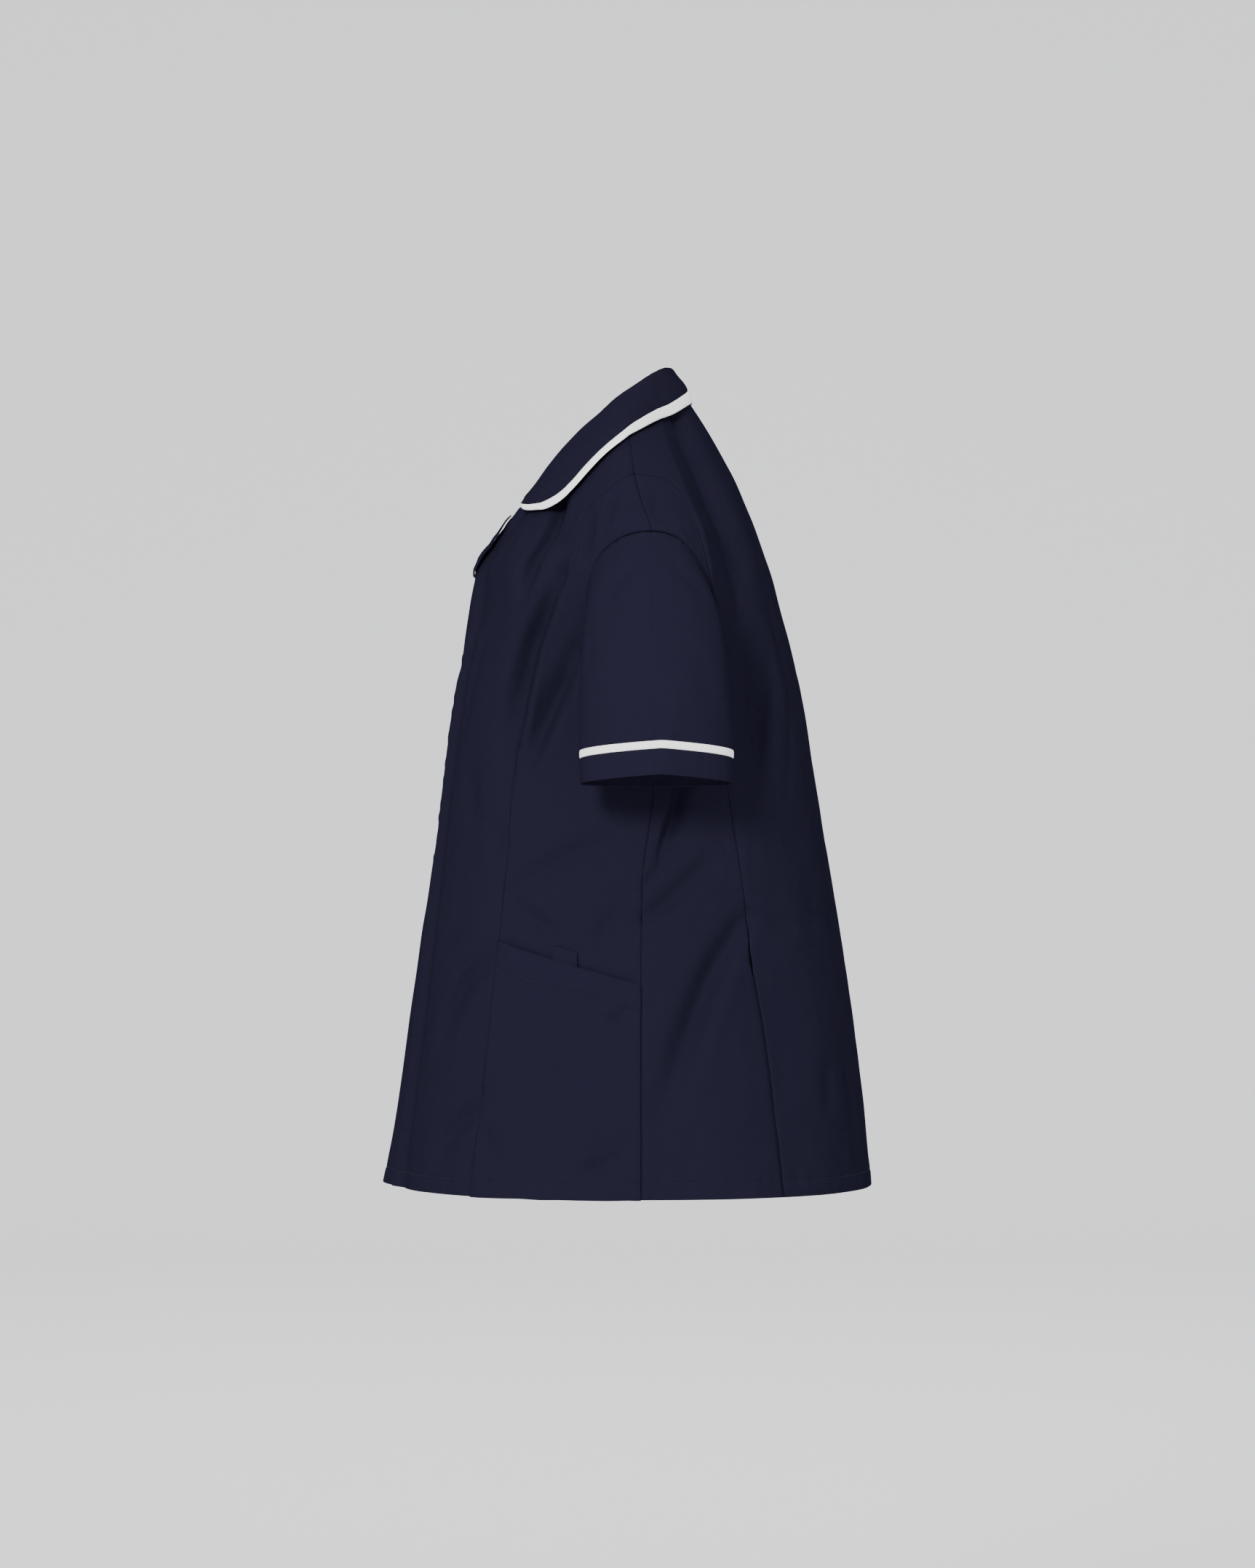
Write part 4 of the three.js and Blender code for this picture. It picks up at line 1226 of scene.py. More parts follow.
def resampled(panel: Grid, distances: Array, heights: Array) -> Grid:
    """Gives a grid on a panel's own face.

    Args:
        panel: The panel's grid.
        distances: For each of the panel's rows, the new columns' distances from its first column.
        heights: For each new row, the height in each column.

    Returns:
        The new grid.
    """
    across = panel.across()
    source = np.concatenate([panel.points, panel.out], -1)
    level = np.array([
        [np.interp(distance, row, source[i, :, k]) for k in range(6)]
        for i, (distance, row) in enumerate(zip(distances, across))
    ])
    columns = []
    for j in range(heights.shape[1]):
        z = np.maximum.accumulate(level[:, 2, j])
        columns.append([np.interp(heights[:, j], z, level[:, k, j]) for k in range(6)])
    rows = np.array(columns).transpose(2, 0, 1)
    return Grid(rows[..., :3], unit(rows[..., 3:]))


@dataclass(frozen=True)
class PatchPocket:
    """A patch over the lower side front, sewn into the seams beside it and into the hem."""

    front_z: float = -457.0
    side_z: float = -494.0
    inset: float = 0.4
    band: float = 24.0
    gape: float = 1.6

    def top_z(self, share: Array) -> Array:
        """Gives the opening's height at a share across."""
        return lerp(self.front_z, self.side_z, share)

    def grid(self, panel: Grid) -> Grid:
        """Gives the pocket's outer face on its panel.

        Args:
            panel: The grid of the panel below.

        Returns:
            The grid.
        """
        across = panel.across()
        share = across / across[:, -1:]
        distances = self.inset + (across[:, -1:] - 2 * self.inset) * share
        top = self.top_z(share[len(share) // 2])
        low = panel.points[0, :, 2]
        near_top = self.band + np.array([3.0, 1.4, 0.6, 0.0, -0.6, -1.6, -4, -8, -12, -16, -19, -21])
        near_top = np.concatenate([near_top, [1.6, 0.8, 0.3, 0.0]])
        foot, head = HEM_STEPS[-1], near_top[0]
        even = np.linspace(0, 1, 42)[1:-1, None]
        start, stop = low + foot, top - head
        rows = [low + HEM_STEPS[:, None], lerp(start, stop, even), top - near_top[:, None]]
        grid = resampled(panel, distances, np.concatenate(rows))
        return self.formed(grid)

    def formed(self, grid: Grid) -> Grid:
        """Lifts the pocket off its panel and gives it seams, its band and its gape.

        Args:
            grid: The pocket's grid on the panel's face.

        Returns:
            The grid.
        """
        across, along = grid.across(), grid.along()
        width, height = across[:, -1:], along[-1:]
        share, below = across / width, height - along
        rise = self.gape * np.sin(math.pi * share) ** 0.7 * (1 - smooth(below, 0, 60))
        side = np.minimum(across, width - across)
        seam = -1.1 * fade(side, 0.7)
        waves = Ripples(seed=71, lengths=(8, 24), height=1.0, waves=6)
        groove = -0.3 * bell(below - self.band, 1.0)
        band = 0.25 * (1 - smooth(below, self.band - 1.5, self.band)) - 0.35 * fade(below, 0.5)
        uneven = 0.25 * waves(across, 0 * across) * bell(below - self.band, 9)
        sag = Ripples(seed=73, lengths=(30, 80), height=0.5)(across, along) * smooth(side, 0, 12)
        thick = np.where(below < self.band, DOUBLED, SINGLE)
        lifted = grid.pushed(LAYER_LIFT + rise + seam + groove + band + uneven + sag)
        return Grid(lifted.points, ways_out(lifted.points, grid.out), thickness=thick)


def pocket_groove(panel: Grid) -> Grid:
    """Sets a side front in a little along its pocket's opening.

    Args:
        panel: The side front's grid.

    Returns:
        The new grid.
    """
    across = panel.across()
    top = PatchPocket().top_z(across / across[:, -1:])
    above = panel.points[..., 2] - top
    groove = -1.5 * bell(above - 0.6, 2.2) - 0.8 * bell(above + 4, 8)
    from_seam = np.minimum(across, across[:, -1:] - across)
    moved = panel.pushed(groove * smooth(from_seam, 0, 10))
    return Grid(moved.points, ways_out(moved.points, panel.out), thickness=panel.thickness)


@dataclass(frozen=True)
class PenLoop:
    """A short flat loop that runs down into the pocket."""

    start: float = 0.42
    stop: float = 0.59
    rise: float = 12.0
    clear: float = -1.0
    lift: float = 2.6
    arch: float = 0.7

    def grid(self, panel: Grid) -> Grid:
        """Gives the loop's outer face on the side front.

        Args:
            panel: The grid of the panel below.

        Returns:
            The grid.
        """
        across = panel.across()
        u = np.concatenate([[0, 0.03, 0.08], np.linspace(0.15, 0.85, 9), [0.92, 0.97, 1.0]])
        v = np.concatenate([[0, 0.03, 0.1], np.linspace(0.2, 0.8, 7), [0.9, 0.97, 1.0]])
        share = lerp(self.start, self.stop, u)
        foot = PatchPocket().top_z(share) + self.clear
        heights = foot + (self.rise - self.clear) * v[:, None]
        grid = resampled(panel, across[:, -1:] * share, heights)
        edge = np.minimum(u, 1 - u) * 26
        top = (1 - v) * 13
        lift = self.lift + self.arch * np.sin(math.pi * u)
        lift = lift - 0.5 * fade(edge, 0.5) - 1.1 * fade(top, 0.9)[:, None]
        lifted = grid.pushed(lift)
        return Grid(lifted.points, ways_out(lifted.points, grid.out), thickness=DOUBLED)


@dataclass(frozen=True)
class FacingLeaf:
    """The front's facing, turned back along the neckline as a narrow leaf."""

    top_z: float = -86.0
    bottom_z: float = -139.0
    width: float = 11.0
    inset: float = 0.5
    rise: float = 5.0
    fold: float = 0.6

    def grid(self, panel: Grid) -> Grid:
        """Gives the leaf's outer face on its centre front.

        Args:
            panel: The grid of the panel below.

        Returns:
            The grid.
        """
        u = np.array([0, 0.05, 0.15, 0.3, 0.45, 0.6, 0.75, 0.88, 0.96, 1.0])
        v = np.linspace(0, 1, 34)
        heights = np.broadcast_to(lerp(self.bottom_z, self.top_z, v)[:, None], (len(v), len(u)))
        z = panel.points[:, 0, 2]
        at = np.clip((z - self.bottom_z) / (self.top_z - self.bottom_z), 0, 1)
        width = 1.2 + self.width * np.sin(math.pi * at) ** 0.8
        grid = resampled(panel, self.inset + width[:, None] * u, heights)
        full = np.sin(math.pi * v)[:, None] ** 0.6
        lift = LAYER_LIFT + self.fold + self.rise * u**0.8 * full - 0.4 * fade(1 - u, 0.06)
        lifted = grid.pushed(lift)
        return Grid(lifted.points, ways_out(lifted.points, grid.out))


FACING_LEAVES = {
    "left": FacingLeaf(),
    "right": FacingLeaf(top_z=-98.0, width=8.5, rise=0.9, fold=0.2),
}


class Body:
    """The seven panels of the body and what lies on them."""

    def __init__(self, pattern: Pattern, navy: "ClothFinish") -> None:
        """Takes the pattern and the cloth's finish.

        Args:
            pattern: The pattern.
            navy: The cloth's finish.
        """
        self.pattern = pattern
        self.navy = navy
        self.grids: dict[str, Grid] = {}

    def build(self) -> None:
        """Makes the panels, pockets, pen loop and neck facings."""
        rows = panel_rows()
        pattern = self.pattern
        princess, back = pattern.front_princess(rows), pattern.back_princess(rows)
        near_edge = Edge(sewn=False, seed=2, lift=3.2, reach=9.5, hollow=2.8)
        near = Panel(pattern, "left_centre_front", 1, near_edge, Edge(seed=21))
        self.add(near, near.grid(pattern.front_edge(rows), princess))
        far_edge = Edge(sewn=False, seed=4, lift=0.0)
        far = Panel(pattern, "right_centre_front", -1, far_edge, Edge(seed=31))
        self.add(far, far.grid(pattern.far_front_edge(rows), princess, pattern.far_front_depth))
        for name, side, seed in (("left", 1, 21), ("right", -1, 31)):
            front = Panel(pattern, f"{name}_side_front", side, Edge(seed=seed), Edge(seed=seed + 1))
            self.add(front, pocket_groove(front.grid(princess, pattern.side(rows, 1))))
            under = Edge(seed=seed + 2, lift=0.0, open_below=pattern.vent.top_z)
            rear = Panel(pattern, f"{name}_side_back", side, Edge(seed=seed + 1), under)
            vent_edge = pattern.vent_edge(rows)
            self.add(rear, rear.grid(pattern.side(rows, -1), vent_edge, pattern.vent_depth))
        self.add(*self.centre_back(rows, back))
        for name in ("left", "right"):
            self.pocket(name)
            self.facing(name)
        self.pen_loop()

    def add(self, panel: Panel, grid: Grid) -> None:
        """Makes a panel."""
        self.layer(panel.name, grid, Held.HUNG)

    def layer(self, name: str, grid: Grid, held: Held, *on: str) -> None:
        """Keeps a piece's grid and builds its shell, lying on the panel named if there is one."""
        self.grids[name] = grid
        ClothPiece(name, grid, Slot.NAVY, held).build(self.navy, rests_on=on)

    def pocket(self, side: str) -> None:
        """Makes a patch pocket, open along its slanted top."""
        under = f"{side}_side_front"
        self.layer(f"{side}_pocket", PatchPocket().grid(self.grids[under]), Held.HUNG, under)

    def pen_loop(self) -> None:
        """Makes the flat loop above the left pocket's opening."""
        under = "left_side_front"
        self.layer("pen_loop", PenLoop().grid(self.grids[under]), Held.STRETCHED, under)

    def facing(self, side: str) -> None:
        """Makes the leaf of front facing that is turned back below the collar."""
        leaf, under = FACING_LEAVES[side], f"{side}_centre_front"
        self.layer(f"{side}_neck_facing", leaf.grid(self.grids[under]), Held.FOLDED, under)

    def centre_back(self, rows: Array, seam: Places) -> tuple[Panel, Grid]:
        """Gives the centre back, whose top follows both shoulders and the neck.

        Args:
            rows: The panel's rows.
            seam: Places of the left back shaped seam.

        Returns:
            The panel and its grid.
        """
        slit = self.pattern.vent.top_z
        edges = [Edge(seed=seed, lift=1.6, reach=9.0, open_below=slit) for seed in (23, 33)]
        panel = Panel(self.pattern, "centre_back", 1, *edges)
        mirrored = (TURN - seam[0], seam[1])
        share = panel.columns(seam, mirrored)
        even = np.abs(2 * share - 1)
        shoulder_share = 0.5
        shoulder = np.minimum(1, (1 - even) / shoulder_share)
        neck = np.maximum(0, (1 - even) - shoulder_share) / (1 - shoulder_share)
        top_share = np.where(share > 0.5, 1 - neck / 2, neck / 2)
        rise = np.where(neck > 0, NAPE_Z * neck, PRINCESS_TOP_Z * (1 - shoulder)) - PRINCESS_TOP_Z
        reach = (self.pattern.arm_share(rows) ** 1.5)[:, None]
        angle = lerp(seam[0][:, None], mirrored[0][:, None], lerp(share, top_share, reach))
        z = seam[1][:, None] + reach * rise
        return panel, panel.dressed(angle, z, top_sewn=1 - smooth(neck, 0, 0.08))


# Sleeves


@dataclass(frozen=True)
class Sleeve:
    """One short sleeve with its trim and its cuff band."""

    pattern: Pattern
    side: int
    name: str
    cuff_x: float = 223.0
    cuff_y: float = 24.6
    half_x: float = 45.0
    half_y: float = 65.4
    cuff_z: float = -322.5
    outer_lift: float = 8.5
    inner_drop: float = 2.5
    band: float = 22.0
    trim: float = 6.8
    peak: float = 0.5
    crease_turn: float = 0.056
    crease_lean: float = 0.0033
    pressed: float = 3.0
    pressed_under: float = 1.2
    around: int = 144
    plane_radius: float = 58.0

    def lines(self) -> Array:
        """Gives the four control points of the line at each turn, from armhole to cuff.

        Returns:
            The points, control point by control point.
        """
        turn = np.linspace(0, TURN, self.around, endpoint=False)
        sin, cos = np.sin(turn), np.cos(turn)
        angle, z = self.pattern.armhole_places(turn, -0.1)
        start = self.pattern.form.point(self.side * angle, z)
        up = (1 + cos) / 2
        lift = np.where(cos > 0, self.outer_lift, self.inner_drop)
        folded = 1 - np.abs(np.sin(turn - self.crease_turn))
        peaked = np.sign(cos) * lerp(np.abs(cos), folded, self.peak)
        end = np.stack([
            self.side * (self.cuff_x + self.half_x * cos),
            self.cuff_y + self.half_y * sin,
            self.cuff_z + lift * peaked,
        ], -1)
        spread = np.where(sin > 0, 0.5, 0.12) * sin
        leave = np.stack([self.side * lerp(0.93, 0.74, up), spread, lerp(-0.36, -0.67, up)], -1)
        arrive = np.stack([self.side * 0.04 * cos, 0 * cos, -np.ones_like(cos)], -1)
        return np.stack([
            start,
            start + leave * lerp(11, 62, up**0.8)[:, None],
            end - arrive * lerp(46, 84, up)[:, None],
            end,
        ])

    def at(self, share: Array) -> Array:
        """Gives points at a share of the curve from armhole to cuff, for each turn.

        Args:
            share: Shares for each turn.

        Returns:
            The points.
        """
        start, leaving, arriving, end = self.lines()
        t = np.asarray(share)[..., None]
        s = 1 - t
        return s**3 * start + 3 * t * s**2 * leaving + 3 * t**2 * s * arriving + t**3 * end

    def above_cuff(self) -> tuple[Array, Array]:
        """Gives fine shares of the curve, from the cuff up, and each one's distance above the cuff.

        Returns:
            The shares, and the distances by share and turn.
        """
        shares = np.linspace(1, 0, 161)
        fine = self.at(shares[:, None] * np.ones(self.around))
        steps = np.linalg.norm(np.diff(fine, axis=0), axis=-1)
        return shares, np.concatenate([np.zeros((1, self.around)), np.cumsum(steps, 0)])

    def grid(self, above: Array, relief: Field) -> Grid:
        """Gives the outer face for distances above the cuff's edge.

        Args:
            above: One row of distances for each row of the grid.
            relief: How far the cloth is pushed out, by turn and distance above.

        Returns:
            The ring grid.
        """
        shares, distances = self.above_cuff()
        columns = [np.interp(above[:, j], distances[:, j], shares) for j in range(self.around)]
        points = self.at(np.stack(columns, 1))
        middle = points.mean(1, keepdims=True)
        out = ways_out(points, unit(points - middle), ring=True)
        turn = np.linspace(0, TURN, self.around, endpoint=False)
        push = relief(np.broadcast_to(turn, above.shape), above)
        points = points + out * push[..., None]
        return Grid(points, ways_out(points, out, ring=True), ring=True)

    def creases(self) -> Field:
        """Gives the sleeve's own creases as a push by turn and distance above the edge.

        Returns:
            The push as a function.
        """
        mirror = 1 if self.side > 0 else 0.8
        rows = (
            Crease(View.LEFT, (-6, 196), (-26, 178), (-52, 142), 8, -3.2 * mirror, (0.2, 0.0), 0.3),
            Crease(View.LEFT, (12, 190), (34, 172), (52, 150), 7, -1.8, (0.2, 0.0), 0.3),
            Crease(View.LEFT, (-58, 150), (-64, 108), (-60, 70), 9, -1.6),
            Crease(View.LEFT, (40, 110), (34, 84), (46, 52), 10, -1.4),
            Crease(View.LEFT, (-30, 92), (-36, 62), (-30, 36), 9, 1.0),
            Crease(View.LEFT, (96, 120), (104, 84), (98, 44), 10, -2.2),
            Crease(View.LEFT, (-120, 110), (-110, 80), (-118, 44), 10, -2.4),
            Crease(View.LEFT, (150, 90), (160, 62), (152, 30), 9, -2.0),
        )
        routes = [Route(row, bowed(*np.array((row.start, row.by, row.end), float))) for row in rows]
        uneven = Ripples(seed=41 + self.side, lengths=(26, 80), height=0.5)

        def relief(turn: Array, above: Array) -> Array:
            """Gives the push of creases, unevenness and the pressed edge.

            Args:
                turn: Turns round the sleeve.
                above: Distances above the cuff's edge.

            Returns:
                The push at each point.
            """
            wrapped = (turn + math.pi) % TURN - math.pi
            across = wrapped * self.plane_radius
            push = sum(route.depth(across, above) for route in routes) + uneven(np.abs(across), above)
            crease_at = self.crease_turn + self.crease_lean * above
            pressed = fade(np.abs(wrapped - crease_at), 0.2) * (1 - smooth(above, 20, 120))
            under = np.exp(-((np.abs(wrapped) - math.pi) ** 2) / 0.03) * (1 - smooth(above, 10, 60))
            return push + self.pressed * pressed + self.pressed_under * under

        return relief

    def build(self, navy: "ClothFinish", white: "ClothFinish") -> None:
        """Makes the sleeve, its trim and its cuff band.

        Args:
            navy: The cloth's finish.
            white: The trim's finish.
        """
        relief = self.creases()
        lengths = self.above_cuff()[1][-1]
        trim_top = self.band + self.trim
        head = np.array([0, 0.3, 0.8, 1.6, 3.0, 5.5, 8.5, 12.0])
        foot = np.array([6.0, 3.0, 1.6, 0.8, 0.3, 0.06])
        even = np.linspace(0, 1, 44)[1:-1, None]
        start, stop = (lengths - head[-1])[None], trim_top + foot[0]
        lowest = trim_top + foot[:, None] + 0 * lengths
        rows = np.concatenate([lengths - head[:, None], lerp(start, stop, even), lowest])
        waves = Ripples(seed=51, lengths=(8, 22), height=0.3, waves=5)

        def upper(turn: Array, above: Array) -> Array:
            """Gives the sleeve's push, with its seams at the armhole and at the trim.

            Args:
                turn: Turns round the sleeve.
                above: Distances above the cuff's edge.

            Returns:
                The push at each point.
            """
            from_head = lengths - above
            seam = -1.7 * fade(from_head, 0.6)
            seam += 0.8 * smooth(from_head, 0, 2.0) * (1 - smooth(from_head, 7, 10))
            seam += waves(turn * 80, 0 * turn) * bell(from_head, 9)
            foot_seam = -0.7 * fade(above - trim_top, 0.7)
            return relief(turn, above) * smooth(from_head, 0, 14) + seam + foot_seam

        self.add("sleeve", self.grid(rows, upper), navy, Slot.NAVY)
        trim_steps = self.trim - np.array([0.06, 0.35, 1.0, 2.1, 3.4, 4.7, 5.8, 6.45, 6.74])
        trim_rows = self.band + trim_steps[:, None] + 0 * lengths

        def tape(turn: Array, above: Array) -> Array:
            """Gives the trim's push: a rounded band."""
            from_edge = np.minimum(above - self.band, trim_top - above)
            return relief(turn, above) + 0.2 - 0.8 * fade(from_edge, 0.4)

        self.add("sleeve_trim", self.grid(trim_rows, tape), white, Slot.WHITE)
        band_steps = np.array([21.94, 21.6, 21.0, 20.0, 17.0, 14.0, 11.0, 8.0, 5.0, 2.5, 1.0, 0.3, 0.0])
        band_rows = band_steps[:, None] + 0 * lengths

        def cuff(turn: Array, above: Array) -> Array:
            """Gives the cuff band's push, with a seam at its top and a fold at its edge.

            Args:
                turn: Turns round the sleeve.
                above: Distances above the cuff's edge.

            Returns:
                The push at each point.
            """
            fold = -0.5 * fade(above, 0.5)
            seam = -0.9 * fade(self.band - above, 0.6)
            return relief(turn, above) + 0.15 + fold + seam + 0.6 * waves(turn * 70, 0 * turn)

        band = self.grid(band_rows, cuff)
        band.thickness = DOUBLED
        self.add("cuff_band", band, navy, Slot.NAVY)

    def add(self, piece: str, grid: Grid, finish: "ClothFinish", slot: Slot) -> None:
        """Builds one of the sleeve's pieces."""
        ClothPiece(f"{self.name}_{piece}", grid, slot, Held.HUNG).build(finish)


# Collar


@dataclass(frozen=True)
class CollarStation:
    """One station of the collar, from the centre back to its front end."""

    at: float
    seam_z: float
    fold: Spot
    edge_angle: float
    edge_z: float


COLLAR_STATIONS = (
    CollarStation(at=0, seam_z=24, fold=(0, 35.6, 48.5), edge_angle=180, edge_z=17.6),
    CollarStation(at=0.14, seam_z=18, fold=(22, 32.5, 46.5), edge_angle=148, edge_z=10),
    CollarStation(at=0.28, seam_z=11, fold=(44, 22, 40), edge_angle=121, edge_z=-2),
    CollarStation(at=0.42, seam_z=4, fold=(62, 4, 26.5), edge_angle=100, edge_z=-15),
    CollarStation(at=0.52, seam_z=-4, fold=(68, -12, 15), edge_angle=86, edge_z=-26),
    CollarStation(at=0.6, seam_z=-14, fold=(65, -25, 3), edge_angle=74, edge_z=-37),
    CollarStation(at=0.7, seam_z=-26, fold=(57, -43, -13), edge_angle=61, edge_z=-54),
    CollarStation(at=0.78, seam_z=-38, fold=(51, -56, -26), edge_angle=52, edge_z=-71),
    CollarStation(at=0.86, seam_z=-52, fold=(45, -70, -44), edge_angle=44, edge_z=-81.5),
    CollarStation(at=0.92, seam_z=-63, fold=(41, -80, -57), edge_angle=35, edge_z=-85.5),
    CollarStation(at=0.97, seam_z=-71, fold=(38, -88, -67), edge_angle=24, edge_z=-85),
    CollarStation(at=1, seam_z=-77, fold=(36, -93, -74), edge_angle=15.5, edge_z=-81),
)


@dataclass(frozen=True)
class Collar:
    """The collar, stand and fall in one, and the trim along its outer edge."""

    pattern: Pattern
    stations: int = 88
    main_steps: int = 46
    trim: float = 10.0
    lift: float = 3.8
    front_lift: float = 1.5
    seam_lift: float = 0.1
    seam_clear: float = 0.2
    span_over: float = -0.5

    def curves(self) -> dict[str, Curve]:
        """Gives the stations' values as smooth lines.

        Returns:
            A line for each value, by the value's name.
        """
        ats = [station.at for station in COLLAR_STATIONS]
        lines = {}
        for name in ("seam_z", "edge_angle", "edge_z"):
            lines[name] = Curve(ats, [getattr(station, name) for station in COLLAR_STATIONS])
        for axis, name in enumerate(("fold_x", "fold_y", "fold_z")):
            lines[name] = Curve(ats, [station.fold[axis] for station in COLLAR_STATIONS])
        return lines

    def on_body(self, angle: float, z: float, lift: float) -> Array:
        """Gives a point above the body.

        Args:
            angle: Its angle.
            z: Its height.
            lift: How far above the body it lies.

        Returns:
            The point.
        """
        form = self.pattern.form
        angle, z = np.array([angle]), np.array([z])
        lift = lift + np.maximum(form.relief(angle, z), self.span_over)[:, None]
        return (form.plain(angle, z) + form.plain_normal(angle, z) * lift)[0]

    def sewn_place(self, angle: float, z: float) -> Array:
        """Gives the point of the creased body that the neck seam is sewn to.

        Args:
            angle: Its angle.
            z: Its height.

        Returns:
            The point.
        """
        form = self.pattern.form
        angle, z = np.array([angle]), np.array([z])
        return (form.point(angle, z) + form.plain_normal(angle, z) * self.seam_lift)[0]

    def clear_of_body(self, point: Array) -> Array:
        """Pushes a point out until it stands clear of the body.

        Args:
            point: The point.

        Returns:
            The point, moved if need be.
        """
        form = self.pattern.form
        if point[2] > NAPE_Z:
            return point
        z = np.array([point[2]])
        forward = form.columns["side_y"](z) - point[1]
        depth = np.where(
            forward > 0,
            form.columns["front"](z) + form.columns["side_y"](z),
            form.columns["back"](z) - form.columns["side_y"](z),
        )
        angle = np.arctan2(point[0] / form.columns["half"](z), forward / depth)
        out = form.plain_normal(angle, z)[0]
        clearance = (point - form.plain(angle, z)[0]) @ out
        return point + out * max(0.0, self.lift - clearance)

    def section(self, station: float, lines: dict[str, Curve]) -> Array:
        """Gives a fine line from the neck seam over the fold to the outer edge.

        Args:
            station: From -1 at the right front end by 0 at the centre back to 1.
            lines: The stations' values.

        Returns:
            The line's points.
        """
        side = -1 if station < 0 else 1
        at = abs(station)
        value = {name: float(line(at)) for name, line in lines.items()}
        fold = np.array([side * value["fold_x"], value["fold_y"], value["fold_z"]])
        z = value["seam_z"]
        if z >= 0:
            neck_angle = lerp(QUARTER, math.pi, z / NAPE_Z)
        else:
            neck_angle = float(self.pattern.form.front_angle_x(z, self.pattern.front_edge_x(z)))
        seam = self.on_body(side * neck_angle, z, self.seam_lift)
        seam = lerp(seam, self.sewn_place(side * neck_angle, z), float(smooth(z, -30.0, -5.0)))
        seam = seam + unit(fold - seam) * self.seam_clear
        lift = self.lift + self.front_lift * float(smooth(at, 0.5, 0.66) * (1 - smooth(at, 0.9, 1.0)))
        edge = self.on_body(side * math.radians(value["edge_angle"]), value["edge_z"], lift)
        up = unit(fold - (seam + edge) / 2)
        out = edge - seam
        out = unit(out - up * (out @ up))
        nip = min(3.0, 0.35 * np.linalg.norm(fold - seam))
        bulge = 0.09 * np.linalg.norm(fold - edge)
        stops = [seam, (seam + fold) / 2 - 0.4 * out, fold - up * nip - 0.6 * nip * out]
        stops += [fold, fold - up * nip + out * nip]
        for share in (0.3, 0.55, 0.8):
            arched = lerp(fold, edge, share) + out * bulge * math.sin(math.pi * share)
            stops.append(self.clear_of_body(arched))
        return spline(np.array([*stops, edge]), 12)

    def grids(self) -> tuple[Grid, Grid]:
        """Gives the collar's grid and its trim's.

        Returns:
            Both grids.
        """
        lines = self.curves()
        turns = np.linspace(-1, 1, 2 * self.stations + 1)
        edge = np.array([0.0, 0.3, 0.8, 1.6, 3.0, 5.0])
        trim = np.array([0.08, 0.4, 1.2, 2.8, 5.0, 7.2, 8.8, 9.6, 10.0])
        main_rows, trim_rows = [], []
        for turn in turns:
            line = self.section(math.sin(turn * QUARTER), lines)
            length = np.concatenate([[0], np.cumsum(np.linalg.norm(np.diff(line, axis=0), axis=-1))])
            end = length[-1] - self.trim
            rim = edge * min(1.0, end / 12)
            spread = lerp(0.0, end - rim[-1], np.linspace(0, 1, self.main_steps + 1))
            main_at = np.concatenate([spread, end - rim[::-1][1:]])
            main_rows.append([[np.interp(s, length, line[:, k]) for k in range(3)] for s in main_at])
            trim_rows.append([[np.interp(end + s, length, line[:, k]) for k in range(3)] for s in trim])
        main, tape = np.array(main_rows), np.array(trim_rows)
        return self.finished(main, self.main_push), self.finished(tape, self.trim_push)

    @staticmethod
    def finished(points: Array, push: Callable[[Grid], Array]) -> Grid:
        """Gives a grid with its own small forms pushed out.

        Args:
            points: Its points.
            push: Gives how far each point is pushed.

        Returns:
            The grid.
        """
        out = unit(np.cross(np.gradient(points, axis=0), np.gradient(points, axis=1)))
        middle = out[len(out) // 2, -1]
        if middle @ np.array([0.0, 1.0, 0.3]) < 0:
            out = -out
        grid = Grid(points, out, thickness=DOUBLED)
        moved = grid.points + out * push(grid)[..., None]
        return Grid(moved, ways_out(moved, out), thickness=DOUBLED)

    @staticmethod
    def main_push(grid: Grid) -> Array:
        """Gives the collar's own unevenness and the ditch beside its trim.

        Args:
            grid: The collar's grid.

        Returns:
            The push at each point.
        """
        across = grid.across()
        from_trim = across[:, -1:] - across
        uneven = Ripples(seed=61, lengths=(24, 70), height=0.4)
        return uneven(grid.along(), across) * 0.8 - 0.8 * fade(from_trim, 0.7)

    @staticmethod
    def trim_push(grid: Grid) -> Array:
        """Gives the trim's rounded edges.

        Args:
            grid: The trim's grid.

        Returns:
            The push at each point.
        """
        across = grid.across()
        from_edge = np.minimum(across, across[:, -1:] - across)
        uneven = Ripples(seed=61, lengths=(24, 70), height=0.4)
        return uneven(grid.along(), across) * 0.8 + 0.35 - 0.9 * fade(from_edge, 0.5)

    def build(self, navy: "ClothFinish", white: "ClothFinish") -> None:
        """Makes the collar and its trim.

        Args:
            navy: The cloth's finish.
            white: The trim's finish.
        """
        main, tape = self.grids()
        ClothPiece("collar", main, Slot.NAVY, Held.FOLDED).build(navy)
        ClothPiece("collar_trim", tape, Slot.WHITE, Held.HUNG).build(white)


